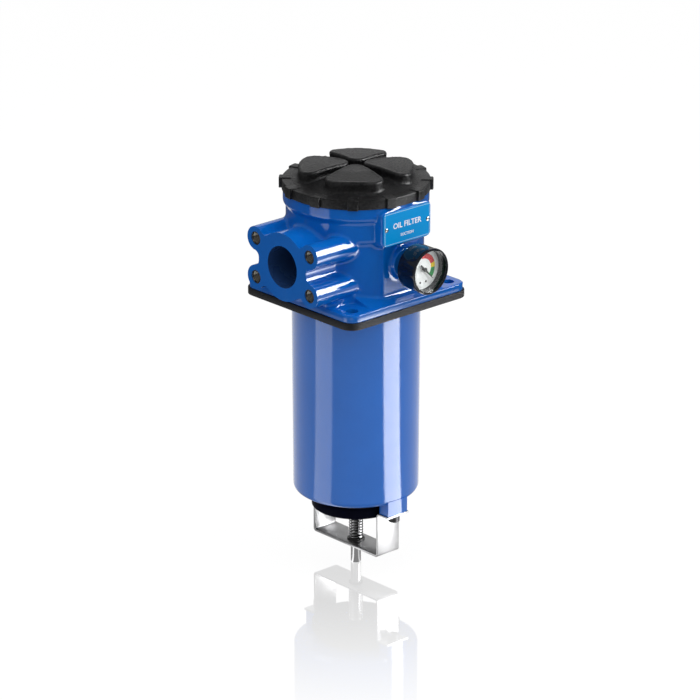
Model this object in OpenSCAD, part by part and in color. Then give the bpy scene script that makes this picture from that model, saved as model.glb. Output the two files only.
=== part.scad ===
/* [Tank flange] */
// How far the square flange reaches past the head's barrel
flange_reach = 10; // [8:0.5:16]
// Radius of the flange's corners
flange_corner = 11; // [4:0.5:14]
// Thickness of the flange at its edge
flange_t = 6.5; // [5:0.5:12]
// Rise of the flange's deck for each millimetre in from its edge
deck_slope = 0.25; // [0.15:0.01:0.3]
// Flat land round the deck's edge
deck_land = 1.5; // [0.5:0.1:4]
// Distance of the tank bolt holes from the flange's edge
bolt_edge = 12.5; // [11:0.5:13.5]
// Diameter of the tank bolt holes
bolt_hole_d = 11; // [8:0.5:13]
// Gap between the barrel and the corner of a pocket's walls
pocket_gap = 0.8; // [0:0.1:2]
// Inner corner radius of the pockets
pocket_r = 4; // [2:0.5:8]
// Thickness of the flange gasket
gasket_t = 6.5; // [3:0.5:8]
// How far the gasket shows past the flange, on each side
gasket_proud = 1.5; // [0:0.1:3]

/* [Head] */
// Radius of the barrel above the flange
barrel_r = 60; // [56:0.5:68]
// Wall of the barrel
head_wall = 7; // [6.5:0.1:8]
// Step out from the barrel to the thicker band under the collar
band_step = 2; // [1:0.1:3]
// Step out from the barrel to the collar that takes the cover
collar_step = 4.5; // [4:0.1:6]
// Height of the head's top face above the tank
head_top = 99.5; // [97:0.5:110]
// Height of the collar
collar_h = 11; // [9:0.5:14]
// Height of the thicker band under the collar
band_h = 22; // [16:0.5:26]
// Half width of the flat gauge pad
gauge_pad_half = 22; // [20:0.5:24]
// Depth of the gauge pad's face inside the barrel's round
gauge_pad_sink = 1.5; // [0.5:0.1:2.5]

/* [Suction port] */
// Bore of the suction port
port_d = 38; // [32:0.5:42]
// How far the port's face stands out from the barrel
port_reach = 27; // [20:0.5:40]
// Height of the port's axis above the tank
port_z = 45.5; // [45:0.25:50]
// Distance between the port's bolts along X
port_bolt_x = 69.9; // [66:0.1:74]
// Distance between the port's bolts along Z
port_bolt_z = 35.7; // [33:0.1:38]
// Radius of the round middle of the port's face
port_hub_r = 31; // [29:0.5:31.5]
// Radius of the bosses round the port's bolts
port_lobe_r = 11; // [10:0.25:12]
// Radius of the fillets between hub and bosses
port_fillet = 5; // [3.5:0.5:7]
// Wall of the thread inserts
insert_wall = 1.1; // [0.8:0.1:1.4]
// Tapping diameter of the port's bolts
tap_d = 10.2; // [8.4:0.1:10.6]
// Length of the thread inserts
insert_len = 22; // [14:0.5:28]
// Depth of an insert below the port's face
insert_sink = 0.6; // [0.2:0.1:1.5]

/* [Bowl] */
// How much the bowl's radius shrinks from its top to its foot
bowl_taper = 0.8; // [0:0.1:1.5]
// Depth of the bowl's floor below the tank's face
bowl_depth = 184; // [175:0.5:230]
// Radius of the rounded edge at the foot
bowl_round = 6; // [3:0.5:7]
// Wall of the bowl
bowl_wall = 4.3; // [3.8:0.1:5]
// Thickness of the bowl's floor
bowl_floor = 6; // [4:0.5:8]
// Height of the collar inside the opening, over the floor
mouth_collar_h = 10; // [8:0.5:12]
// Length of the threaded neck inside the head
neck_len = 11.3; // [9:0.1:11.5]
// Width of the two lugs that carry the bracket
lug_w = 23; // [18:0.5:26]
// Length of the lugs below the bowl's floor
lug_drop = 10.5; // [9:0.5:16]
// Thickness of the lugs at their middle
lug_t = 12.7; // [12:0.1:14]

/* [Shut-off valve] */
// Gap between the valve plate's edge and the lugs
lug_gap = 3.8; // [3:0.1:6]
// How far the valve plate laps past the bowl's opening, all round
plate_lap = 7; // [5:0.5:9]
// Thickness of the valve plate
plate_t = 10; // [8:0.5:12]
// Distance of the open valve plate below the bowl
valve_gap = 6.5; // [5:0.1:8]
// Height of the valve seal above its plate
seal_proud = 1.4; // [0.8:0.1:2]
// Diameter of the valve stem
stem_d = 9.3; // [8:0.1:10]
// Length of the stem below the bracket
stem_tail = 20.3; // [18:0.1:30]
// Gap between the stem and the valve spring
spring_gap = 0.55; // [0.3:0.05:1]
// Wire diameter of the valve spring
spring_wire = 1.4; // [0.8:0.1:1.5]
// Number of turns of the valve spring
spring_turns = 10; // [6:1:14]

/* [Bracket] */
// Width of the bracket's strip
strip_w = 26; // [20:0.5:28]
// Thickness of the bracket's strip
strip_t = 2; // [1.5:0.1:2.5]
// How far the legs stand outside the valve plate's edge
leg_out = 3; // [2.8:0.1:3.4]
// Height of the bracket from its foot to the lugs
leg_h = 42.7; // [38:0.1:46]
// Outer radius of the bends
bend_r = 3.2; // [2.8:0.1:5]
// Distance of the bracket's screws in from the bowl's foot
screw_in = 6.2; // [6:0.1:6.4]
// Diameter of the bracket's screws
screw_d = 6; // [5:0.5:6]

/* [Cover] */
// How far the cover's rim stands out over the collar
rim_out = 1; // [0.5:0.1:2]
// Height of the cover's rim
rim_h = 8.7; // [6:0.1:10]
// Number of grip lugs round the rim
grip_count = 12; // [8:4:24]
// Width of a grip lug
grip_w = 9.5; // [6:0.5:11]
// How far the grip lugs stand out from the rim
grip_out = 2.5; // [1:0.1:4]
// Height of the low ribs that run in from the grip lugs
grip_rib_h = 0.7; // [0.4:0.1:1.5]
// Height of the petals above the rim
petal_h = 15.3; // [12:0.1:18]
// Rise of the mound that the petals stand on
mound_h = 7; // [4:0.5:8]
// Width of the rim outside the petals
rim_land = 11.5; // [10.5:0.5:14]
// Angle that a petal fans out from its tip
petal_fan = 74; // [66:1:78]
// Corner radius of a petal
petal_corner = 10.5; // [8:0.5:12]
// Wall of the cover
cover_wall = 4; // [3:0.5:5]
// Radial clearance of the cover's skirt in the collar
skirt_clear = 0.25; // [0.15:0.05:0.4]
// Height of the cover's threaded skirt
skirt_h = 13; // [11:0.5:14]

/* [Element] */
// Gap between the element's end caps and the bowl
cap_gap = 4.2; // [3.5:0.1:6]
// Height of the top of the element above the tank
element_top = 20; // [10:0.5:21]
// Number of pleats in the filter mesh
pleat_count = 44; // [24:1:48]
// Depth of a pleat
pleat_depth = 11; // [8:0.5:13]
// Thickness of the filter mesh
mesh_t = 0.8; // [0.5:0.1:1.2]
// Number of bars round the support cage
cage_bars = 10; // [6:1:12]
// Number of rings in the support cage
cage_rings = 7; // [4:1:10]
// Radius of the post that the cover presses
post_r = 7; // [6:0.5:9]

/* [Gauge] */
// Height of the gauge's axis above the tank
gauge_z = 45.5; // [44:0.25:46]
// Outer diameter of the gauge's case
gauge_d = 41; // [38:0.5:42]
// Diameter of the cast boss behind the gauge
gauge_boss_d = 28; // [20:0.5:30]
// Height of that boss above the gauge pad
gauge_boss_h = 5.5; // [3:0.5:8]
// Length of the gauge's hexagon between boss and case
gauge_hex_len = 10; // [6:0.5:14]
// Width across the flats of the hexagon
gauge_hex_af = 14; // [12:0.5:17]
// Depth of the gauge from its back to its front
gauge_depth = 22.2; // [20:0.1:28]
// Depth of the dial below the front
dial_sink = 11; // [8:0.5:12]
// Length of the pointer from its axis
pointer_len = 13.5; // [10:0.5:15]
// Angle of the scale's zero, from level towards the foot
pointer_zero = 46; // [30:1:60]

/* [Nameplate] */
// Width of the nameplate
plate_w = 55; // [48:0.5:56]
// Height of the nameplate
plate_h = 30; // [26:0.5:31]
// Thickness of the nameplate
plate_sheet = 0.9; // [0.5:0.1:1.2]
// Distance of the nameplate's middle below the head's top
plate_drop = 18.5; // [17.5:0.25:20]
// Distance of the nameplate's back outside the collar
plate_lift = 0.3; // [0.1:0.1:1]
// Distance of the rivets from the nameplate's short edges
rivet_in = 3; // [2.5:0.1:6]

/* [Hidden] */
$fn = 64;
over = 1;
fit = 0.1;
blue = [0.07, 0.32, 0.66];
black = [0.13, 0.13, 0.14];
steel = [0.75, 0.76, 0.78];
brass = [0.78, 0.62, 0.32];
rubber = [0.2, 0.2, 0.2];

flange_side = 2 * (barrel_r + flange_reach);
bolt_span = flange_side - 2 * bolt_edge;
pocket_wall = (barrel_r + pocket_gap) / sqrt(2);
flange_z = gasket_t;
deck_z = flange_z + flange_t;
chamber_r = barrel_r - head_wall;
band_r = barrel_r + band_step;
collar_r = barrel_r + collar_step;
collar_z = head_top - collar_h;
band_z = collar_z - band_h;
bowl_top_r = chamber_r + bowl_wall;
thread_r = chamber_r + 4;
thread_z = head_top - skirt_h - 2;
mouth_step_r = thread_r + 3.6;
mouth_step_h = 3.6;
socket_r = bowl_top_r - 0.7;
socket_top = flange_z + neck_len + 0.2;
neck_r = socket_r - fit;
bowl_seal_z = flange_z + neck_len / 2;
bowl_seal_wire = 2;

gauge_pad_x = barrel_r - gauge_pad_sink;
gauge_boss_x = gauge_pad_x + gauge_boss_h;
plate_x = collar_r + plate_lift;
plate_z = head_top - plate_drop;
port_face = barrel_r + port_reach;
insert_d = tap_d + 2 * insert_wall;
insert_r = insert_d / 2;
insert_clear = 0.05;
bore_r = port_d / 2;
pad_a1 = fillet_angle(1);
pad_a2 = fillet_angle(-1);

bowl_foot_r = bowl_top_r - bowl_taper;
bowl_inner_top_r = bowl_top_r - bowl_wall;
bowl_inner_foot_r = bowl_foot_r - bowl_wall;
floor_z = -bowl_depth + bowl_floor;
lug_z = -bowl_depth - lug_drop;
lug_inner_x = bowl_foot_r - lug_t;
plate_r = lug_inner_x - lug_gap;
mouth_r = plate_r - plate_lap;

stem_r = stem_d / 2;
plate_top = -bowl_depth - valve_gap;
plate_low = plate_top - plate_t;
bracket_low = lug_z - leg_h;
base_top = bracket_low + strip_t;
bush_flange_t = 1.5;
bush_r = stem_r + 1.9;
spring_low = base_top + bush_flange_t;
stem_low = bracket_low - stem_tail;
leg_x = plate_r + leg_out;
leg_inner_x = leg_x - strip_t;
foot_x = bowl_foot_r - 0.5;
screw_x = bowl_foot_r - screw_in;
spring_od = stem_d + 2 * (spring_gap + spring_wire);
nut_h = 5;
nut_af = stem_d + 3.7;

spigot_r = mouth_r - 0.4;
spigot_wall = 5;
spigot_low = floor_z - 2;
hub_r = 8;
hub_low = floor_z - 1;
stem_pin_r = 3;
stem_pin_h = 9;
seal_wire = 2.4;
seal_r = mouth_r - fit - seal_wire / 2;
element_seal_z = floor_z + 2;
cap_r = bowl_inner_foot_r - cap_gap;
cap_t = 3;
cap_low = floor_z + mouth_collar_h + 2;
mesh_low = cap_low + cap_t;
mesh_high = element_top;
cage_r = cap_r - 1.6;
mesh_r = cage_r - 1.6;
post_top = thread_z - 7;
boss_r = 12;

rim_r = collar_r + rim_out;
grip_r = rim_r + grip_out;
petal_r = rim_r - rim_land;
rim_top = head_top + rim_h;
petal_slope = 1.2;
petal_top = rim_top + petal_h;
mound_r = petal_r + 3;
skirt_r = thread_r - skirt_clear;
cover_seal_wire = 2.9;
cover_seal_r = skirt_r + 0.2 + cover_seal_wire / 2;

gauge_back = gauge_boss_x + gauge_hex_len;
gauge_front = gauge_back + gauge_depth;
gauge_r = gauge_d / 2;
gauge_wall = 1.8;
dial_x = gauge_front - dial_sink;
dial_t = 0.8;
dial_r = gauge_r - gauge_wall - 0.1;
window_t = 1.5;
window_sink = 1.9;
window_x = gauge_front - window_sink - window_t - fit;
spindle_r = 1;
spindle_x = gauge_back + 6;
pointer_x = dial_x + 2.2;
pointer_t = 0.5;
dial_screw_y = 3.4;
dial_screw_drop = 12;
bezel_h = 2.5;
bezel_lip = 0.3;

rivet_span = plate_w - 2 * rivet_in;
rivet_head_r = 2.1;
rivet_head_h = 0.9;
rivet_shank_r = 1.2;
rivet_len = 4;

// Points along a round stretch from angle a0 to a1
function arc(c, r, a0, a1, n = 8) =
    [for (i = [0:n]) c + r * [cos(a0 + (a1 - a0) * i / n), sin(a0 + (a1 - a0) * i / n)]];
// Angle of a line from p to q
function toward(p, q) = atan2(q[1] - p[1], q[0] - p[0]);
// Direction from the port's axis to the centre of a fillet on either side of a boss
function lobe_c() = [port_bolt_x / 2, port_bolt_z / 2];
function fillet_angle(side) =
    let (a = port_hub_r + port_fillet, b = port_lobe_r + port_fillet, d = norm(lobe_c()))
    toward([0, 0], lobe_c()) + side * acos((a * a + d * d - b * b) / (2 * a * d));
function fillet_c(angle) = (port_hub_r + port_fillet) * [cos(angle), sin(angle)];
// One quarter of the outline of the port's face, from the X axis to the Z axis
function port_quarter() = concat(
    arc([0, 0], port_hub_r, 0, pad_a2, 1),
    arc(fillet_c(pad_a2), port_fillet, 180 + pad_a2, toward(fillet_c(pad_a2), lobe_c()), 6),
    arc(lobe_c(), port_lobe_r, toward(lobe_c(), fillet_c(pad_a2)),
        toward(lobe_c(), fillet_c(pad_a1)), 16),
    arc(fillet_c(pad_a1), port_fillet, 360 + toward(fillet_c(pad_a1), lobe_c()),
        180 + pad_a1, 6),
    arc([0, 0], port_hub_r, pad_a1, 90, 5));
function flip(pts, sx, sy) = [for (p = pts) [sx * p[0], sy * p[1]]];
function back(pts) = [for (i = [len(pts) - 1:-1:0]) pts[i]];
function port_outline() = concat(port_quarter(), back(flip(port_quarter(), -1, 1)),
    flip(port_quarter(), -1, -1), back(flip(port_quarter(), 1, -1)));

function turn(p, a) = [p[0] * cos(a) - p[1] * sin(a), p[0] * sin(a) + p[1] * cos(a)];
// Outline of one petal about the X axis: round tip, two flanks, round corners and outer edge
function petal_outline(inset) =
    let (half = petal_fan / 2, r = petal_r + petal_slope + 1 - inset, rc = petal_corner - inset,
         b = half - asin(petal_corner / (r - rc)), corner = turn([r - rc, 0], b),
         tip = 7, tip_c = [tip / sin(half), 0])
    concat(arc([corner[0], -corner[1]], rc, -half - 90, -b, 6), arc([0, 0], r, 3 - b, b - 3, 8),
           arc(corner, rc, b, half + 90, 6), arc(tip_c, tip - inset, half + 90, 270 - half, 6));

module rounded_square(w, h, r) {
    square([w - 2 * r, h], center = true);
    square([w, h - 2 * r], center = true);
    for (x = [-1, 1], y = [-1, 1])
        translate([x * (w / 2 - r), y * (h / 2 - r)]) circle(r);
}

// A ring of round section
module o_ring(r, wire) {
    rotate_extrude() translate([r, 0]) circle(d = wire, $fn = 24);
}

// Lays a shape's Z axis along +X
module along_x() {
    rotate([90, 0, 90]) children();
}

module tank_bolts() {
    for (x = [-1, 1], y = [-1, 1])
        translate([x * bolt_span / 2, y * bolt_span / 2, 0]) children();
}

module port_bolts() {
    for (x = [-1, 1], z = [-1, 1])
        translate([x * port_bolt_x / 2, -port_face, port_z + z * port_bolt_z / 2])
            rotate([-90, 0, 0]) children();
}

module deck_roof() {
    half = flange_side / 2 - deck_land;
    rise = half * deck_slope;
    rotate([90, 0, 0])
        linear_extrude(2 * half, center = true)
            polygon([[-half, -flange_t / 2], [half, -flange_t / 2], [half, 0], [0, rise],
                     [-half, 0]]);
}

module deck() {
    translate([0, 0, flange_z])
        linear_extrude(flange_t) rounded_square(flange_side, flange_side, flange_corner);
    translate([0, 0, deck_z])
        intersection() {
            deck_roof();
            rotate(90) deck_roof();
        }
}

// Pockets in the flange's corners, open to both edges
module corner_pockets() {
    reach = flange_side / 2;
    side = reach - pocket_wall + over;
    for (a = [0:90:270])
        rotate(a)
            translate([pocket_wall, pocket_wall, deck_z])
                linear_extrude(flange_side * deck_slope)
                    union() {
                        translate([pocket_r, 0]) square([side - pocket_r, side]);
                        translate([0, pocket_r]) square([side, side - pocket_r]);
                        translate([pocket_r, pocket_r]) circle(pocket_r);
                    }
}

module barrel() {
    rotate_extrude()
        polygon([[0, flange_z + over], [barrel_r, flange_z + over], [barrel_r, band_z],
                 [band_r, band_z + 2], [band_r, collar_z - 2], [collar_r, collar_z + 0.5],
                 [collar_r, head_top - 0.5], [collar_r - 0.5, head_top], [0, head_top]]);
}

module head_chamber() {
    rotate_extrude()
        polygon([[0, -over], [socket_r, -over], [socket_r, socket_top],
                 [chamber_r, socket_top], [chamber_r, thread_z - 4], [thread_r, thread_z],
                 [thread_r, head_top - mouth_step_h], [mouth_step_r, head_top - mouth_step_h],
                 [mouth_step_r, head_top + over], [0, head_top + over]]);
}

module gauge_pad() {
    low = flange_z + over;
    translate([0, -gauge_pad_half, low]) cube([gauge_pad_x, 2 * gauge_pad_half, plate_z - low]);
}

module plate_boss() {
    proud = 3.2;
    translate([chamber_r - 6, 0, plate_z])
        along_x() linear_extrude(plate_x - chamber_r + 6)
            rounded_square(plate_w + proud, plate_h + proud, 5);
}

module head() {
    color(blue)
        difference() {
            union() {
                difference() {
                    deck();
                    corner_pockets();
                }
                difference() {
                    barrel();
                    translate([gauge_pad_x, -gauge_pad_half, deck_z])
                        cube([barrel_r, 2 * gauge_pad_half, plate_z - deck_z]);
                }
                gauge_pad();
                plate_boss();
                translate([gauge_pad_x - 3, 0, gauge_z])
                    along_x() cylinder(d = gauge_boss_d, h = gauge_boss_x - gauge_pad_x + 3);
                translate([0, 0, port_z])
                    rotate([90, 0, 0])
                        translate([0, 0, chamber_r / 2])
                            linear_extrude(port_face - chamber_r / 2) polygon(port_outline());
            }
            head_chamber();
            tank_bolts() cylinder(d = bolt_hole_d, h = deck_z + over);
            translate([0, -chamber_r / 2, port_z])
                rotate([90, 0, 0]) cylinder(r = bore_r, h = port_face);
            port_bolts() translate([0, 0, -over])
                cylinder(d = insert_d, h = insert_sink + insert_len + over);
            translate([chamber_r / 2, 0, gauge_z]) along_x() cylinder(d = 9.7, h = barrel_r);
            for (y = [-1, 1])
                translate([plate_x - rivet_len, y * rivet_span / 2, plate_z])
                    along_x() cylinder(r = rivet_shank_r + fit, h = rivet_len + over);
        }
}

module flange_gasket() {
    side = flange_side + 2 * gasket_proud;
    color(rubber)
        difference() {
            linear_extrude(gasket_t) rounded_square(side, side, flange_corner + gasket_proud);
            translate([0, 0, -over]) cylinder(r = bowl_top_r + 1.2, h = gasket_t + 2 * over);
            translate([0, 0, -over]) tank_bolts() cylinder(d = bolt_hole_d, h = gasket_t + 2);
        }
}

// Threaded sleeves that take the port's bolts
module thread_inserts() {
    color([0.55, 0.53, 0.47])
        port_bolts() translate([0, 0, insert_sink])
            difference() {
                cylinder(r = insert_r - insert_clear, h = insert_len - insert_clear);
                translate([0, 0, -over]) cylinder(d = tap_d, h = insert_len + 2 * over);
            }
}

module bowl() {
    groove = bowl_seal_wire * 0.8;
    color([0.25, 0.41, 0.71])
        difference() {
            union() {
                rotate_extrude()
                    polygon(concat(
                        [[neck_r, flange_z], [bowl_top_r, flange_z]],
                        arc([bowl_foot_r - bowl_round, -bowl_depth + bowl_round], bowl_round,
                            0, -90, 8),
                        [[mouth_r, -bowl_depth], [mouth_r, floor_z + mouth_collar_h],
                         [mouth_r + 4, floor_z + mouth_collar_h], [mouth_r + 4, floor_z],
                         [bowl_inner_foot_r - 3, floor_z], [bowl_inner_foot_r, floor_z + 3],
                         [bowl_inner_top_r, flange_z + neck_len],
                         [neck_r - 0.6, flange_z + neck_len], [neck_r, flange_z + neck_len - 0.6],
                         [neck_r, bowl_seal_z + 1.2], [neck_r - groove, bowl_seal_z + 1.2],
                         [neck_r - groove, bowl_seal_z - 1.2], [neck_r, bowl_seal_z - 1.2]]));
                intersection() {
                    translate([0, 0, lug_z]) cylinder(r = bowl_foot_r - 0.3, h = lug_drop + 7);
                    union() {
                        for (s = [0, 180])
                            rotate(s)
                                translate([lug_inner_x, -lug_w / 2, lug_z])
                                    cube([bowl_foot_r, lug_w, lug_drop + 4]);
                    }
                }
            }
            for (x = [-1, 1])
                translate([x * screw_x, 0, lug_z - over])
                    cylinder(d = screw_d - 0.9, h = lug_drop - 1 + over);
        }
}

module bowl_seal() {
    groove_r = neck_r - bowl_seal_wire * 0.8;
    color(rubber)
        translate([0, 0, bowl_seal_z])
            o_ring((groove_r + socket_r) / 2, socket_r - groove_r - 0.04);
}

module nameplate() {
    color([0.05, 0.53, 0.82])
        difference() {
            translate([plate_x, 0, plate_z])
                along_x() linear_extrude(plate_sheet) rounded_square(plate_w, plate_h, 3.5);
            for (y = [-1, 1])
                translate([plate_x - over, y * rivet_span / 2, plate_z])
                    along_x() cylinder(r = rivet_shank_r + fit, h = plate_sheet + 2 * over);
        }
}

module nameplate_rivets() {
    color(steel)
        for (y = [-1, 1])
            translate([plate_x + plate_sheet, y * rivet_span / 2, plate_z])
                along_x() rotate_extrude()
                    polygon(concat(
                        [[0, -rivet_len], [rivet_shank_r, -rivet_len], [rivet_shank_r, 0]],
                        [for (i = [0:4]) [rivet_head_r * cos(i * 18), rivet_head_h * sin(i * 18)]],
                        [[0, rivet_head_h]]));
}

// Four raised petals that make the hand grip
module petals(inset, low, high) {
    shoulder = 4;
    crown = 3.7;
    foot_r = petal_r + petal_slope - inset;
    edge = [petal_r - inset - shoulder, high - crown - shoulder];
    for (a = [45:90:315])
        intersection() {
            rotate(a)
                translate([0, 0, low])
                    linear_extrude(high - low + over) polygon(petal_outline(inset));
            rotate_extrude()
                polygon(concat([[0, low - over], [foot_r, low - over]],
                               arc(edge, shoulder, 5, 80, 5),
                               [[petal_r / 2, high - crown / 4], [0, high]]));
        }
}

// Low mound under the petals, steeper towards the rim
module mound() {
    rotate_extrude()
        polygon(concat([[mound_r, rim_top - over], [0, rim_top - over]],
                       [for (i = [0:8]) let (q = i / 8) [q * mound_r, rim_top + mound_h * (1 - q * q * q)]]));
}

module cover() {
    color(black)
        difference() {
            union() {
                rotate_extrude()
                    polygon([[0, head_top], [rim_r - 0.4, head_top], [rim_r, head_top + 0.4],
                             [rim_r, rim_top - 1], [rim_r - 1, rim_top], [0, rim_top]]);
                grip_lugs();
                mound();
                petals(0, rim_top - over, petal_top);
                translate([0, 0, head_top - skirt_h]) cylinder(r = skirt_r, h = skirt_h + over);
            }
            translate([0, 0, head_top - skirt_h - over])
                cylinder(r = skirt_r - cover_wall, h = skirt_h + over + rim_h - cover_wall);
            petals(cover_wall, rim_top - cover_wall - over, petal_top - cover_wall);
        }
    color(black) cover_ribs();
}

module grip_lugs() {
    rib_r = petal_r + 2;
    for (i = [0:grip_count - 1])
        rotate(-45 + i * 360 / grip_count) {
            intersection() {
                translate([rib_r, -grip_w / 2, head_top + 0.01])
                    cube([grip_r, grip_w, rim_h + grip_rib_h]);
                translate([0, 0, head_top]) cylinder(r = grip_r, h = rim_h + grip_rib_h + over);
            }
        }
}

// Post and ribs under the cover, which hold the element down
module cover_ribs() {
    roof = rim_top - cover_wall + 0.5;
    translate([0, 0, post_top + fit])
        difference() {
            cylinder(r = boss_r, h = roof - post_top - fit);
            translate([0, 0, -over]) cylinder(r = boss_r - 3.5, h = roof - post_top - over);
        }
    for (a = [0:45:315])
        rotate(a)
            translate([boss_r - 1, -1.25, head_top - skirt_h + 3])
                cube([skirt_r - cover_wall - boss_r + 1.5, 2.5, roof - head_top + skirt_h - 3]);
}

module cover_seal() {
    color(rubber)
        translate([0, 0, head_top - 0.15 - cover_seal_wire / 2]) o_ring(cover_seal_r, cover_seal_wire);
}

module element_top_cap() {
    color(steel)
        union() {
            translate([0, 0, mesh_high]) cylinder(r = cap_r, h = cap_t);
            translate([0, 0, mesh_high - cap_t])
                difference() {
                    cylinder(r = cap_r, h = cap_t + 0.5);
                    translate([0, 0, -over]) cylinder(r = cap_r - 1, h = cap_t + over);
                }
            translate([0, 0, mesh_high + cap_t - 0.5])
                cylinder(r1 = post_r + 6, r2 = post_r, h = 6);
            translate([0, 0, mesh_high + cap_t])
                cylinder(r = post_r, h = post_top - mesh_high - cap_t);
            translate([0, 0, post_top - 3]) cylinder(r = boss_r, h = 3);
        }
}

module filter_mesh() {
    step = 360 / pleat_count;
    low_r = mesh_r - pleat_depth;
    color([0.7, 0.7, 0.66])
        translate([0, 0, mesh_low + fit])
            linear_extrude(mesh_high - mesh_low - 2 * fit)
                difference() {
                    polygon([for (i = [0:pleat_count - 1]) each
                             [mesh_r * [cos(i * step), sin(i * step)],
                              (low_r + mesh_t) * [cos((i + 0.5) * step), sin((i + 0.5) * step)]]]);
                    polygon([for (i = [0:pleat_count - 1]) each
                             [(mesh_r - mesh_t * 2) * [cos(i * step), sin(i * step)],
                              low_r * [cos((i + 0.5) * step), sin((i + 0.5) * step)]]]);
                }
}

// Open cage of bars and rings that holds the pleats from outside
module support_cage() {
    high = mesh_high - mesh_low - 2 * fit;
    ring_h = 3;
    step = (high - ring_h) / (cage_rings - 1);
    color([0.62, 0.63, 0.65])
        translate([0, 0, mesh_low + fit])
            intersection() {
                difference() {
                    cylinder(r = cage_r + 0.5, h = high);
                    translate([0, 0, -over]) cylinder(r = cage_r - 1.4, h = high + 2 * over);
                }
                union() {
                    for (i = [0:cage_rings - 1])
                        translate([0, 0, i * step]) cylinder(r = cap_r, h = ring_h);
                    for (i = [0:cage_bars - 1])
                        rotate(i * 360 / cage_bars)
                            translate([cage_r - 4, -2, 0]) cube([8, 4, high]);
                }
            }
}

module element_bottom_cap() {
    groove = seal_r - seal_wire / 2;
    arm_in = spigot_r - spigot_wall;
    color(steel) {
        difference() {
            union() {
                rotate_extrude()
                    polygon([[arm_in, spigot_low], [spigot_r, spigot_low],
                             [spigot_r, element_seal_z - 1.5], [groove, element_seal_z - 1.5],
                             [groove, element_seal_z + 1.5], [spigot_r, element_seal_z + 1.5],
                             [spigot_r, cap_low], [cap_r, cap_low], [cap_r, mesh_low + cap_t],
                             [cap_r - 1, mesh_low + cap_t], [cap_r - 1, mesh_low],
                             [arm_in, mesh_low]]);
                for (a = [45:90:315])
                    rotate(a)
                        translate([hub_r - 1, -1.5, hub_low]) cube([arm_in - hub_r + 2, 3, 9]);
                translate([0, 0, hub_low]) cylinder(r = hub_r, h = stem_pin_h + 4);
            }
            translate([0, 0, hub_low - over])
                cylinder(r = stem_pin_r + 0.05, h = stem_pin_h + over + 0.3);
        }
    }
}

module element_seal() {
    color(rubber) translate([0, 0, element_seal_z]) o_ring(seal_r, seal_wire - 0.04);
}

module valve_stem() {
    color(steel)
        rotate_extrude()
            polygon([[0, stem_low], [stem_r - 1, stem_low], [stem_r, stem_low + 1],
                     [stem_r, hub_low - 0.05], [stem_pin_r, hub_low - 0.05],
                     [stem_pin_r, hub_low + stem_pin_h - 1],
                     [stem_pin_r - 1, hub_low + stem_pin_h], [0, hub_low + stem_pin_h]]);
}

// Round plate between the bracket's legs, with a groove for the seal
module valve_plate() {
    r = plate_r;
    seal_in = mouth_r + 0.8;
    edge = 1.4;
    color(black)
        rotate_extrude()
            polygon([[stem_r + 0.05, plate_low], [r - edge, plate_low], [r, plate_low + edge],
                     [r, plate_top - 1.8], [r - 1, plate_top], [r - 1.9, plate_top],
                     [r - 1.9, plate_top - 1.6], [seal_in, plate_top - 1.6],
                     [seal_in, plate_top], [stem_r + 4.5, plate_top],
                     [stem_r + 0.05, plate_top]]);
}

module valve_seal() {
    r = plate_r - 2;
    color([0.25, 0.25, 0.26])
        rotate_extrude()
            polygon([[mouth_r + 0.9, plate_top - 1.58], [r, plate_top - 1.58],
                     [r, plate_top + seal_proud - 0.4], [r - 0.4, plate_top + seal_proud],
                     [mouth_r + 1.3, plate_top + seal_proud],
                     [mouth_r + 0.9, plate_top + seal_proud - 0.4]]);
}

// Nut that holds the plate on the stem
module stem_nut() {
    color(steel)
        translate([0, 0, plate_top])
            difference() {
                cylinder(r = nut_af / sqrt(3), h = nut_h, $fn = 6);
                translate([0, 0, -over]) cylinder(r = stem_r + 0.05, h = nut_h + 2 * over);
            }
}

// Wire coiled between the bush and the plate, with a closed turn at each end
module valve_spring() {
    sides = 8;
    per_turn = 16;
    rings = spring_turns * per_turn;
    wire_r = spring_wire / 2;
    coil_r = spring_od / 2 - wire_r;
    low = spring_low + wire_r + 0.02;
    high = plate_low - wire_r - 0.02;
    rise = high - low - 2 * spring_wire;
    function height(t) = low + (t < 1 ? t * spring_wire
        : t > spring_turns - 1 ? spring_wire + rise + (t - spring_turns + 1) * spring_wire
        : spring_wire + rise * (t - 1) / (spring_turns - 2));
    pts = [for (i = [0:rings], j = [0:sides - 1])
        let (t = i / per_turn, r = coil_r + wire_r * cos(j * 360 / sides))
        [r * cos(t * 360), r * sin(t * 360), height(t) + wire_r * sin(j * 360 / sides)]];
    faces = concat(
        [[for (j = [0:sides - 1]) j]],
        [for (i = [0:rings - 1], j = [0:sides - 1])
            [i * sides + j, (i + 1) * sides + j, (i + 1) * sides + (j + 1) % sides,
             i * sides + (j + 1) % sides]],
        [[for (j = [sides - 1:-1:0]) rings * sides + j]]);
    color(steel) polyhedron(points = pts, faces = faces);
}

// Right half of the bent strip's section: its underside, then its upper side
function bracket_under() =
    concat(arc([leg_x - bend_r, bracket_low + bend_r], bend_r, -90, 0, 5),
           arc([leg_x + bend_r - strip_t, lug_z - bend_r], bend_r - strip_t, 180, 90, 4),
           [[foot_x, lug_z - strip_t]]);
function bracket_over() =
    concat([[foot_x, lug_z]],
           arc([leg_x + bend_r - strip_t, lug_z - bend_r], bend_r, 90, 180, 5),
           arc([leg_x - bend_r, bracket_low + bend_r], bend_r - strip_t, 0, -90, 4));
function bracket_outline() = concat(bracket_under(), bracket_over(),
    back(flip(bracket_over(), -1, 1)), back(flip(bracket_under(), -1, 1)));

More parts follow.
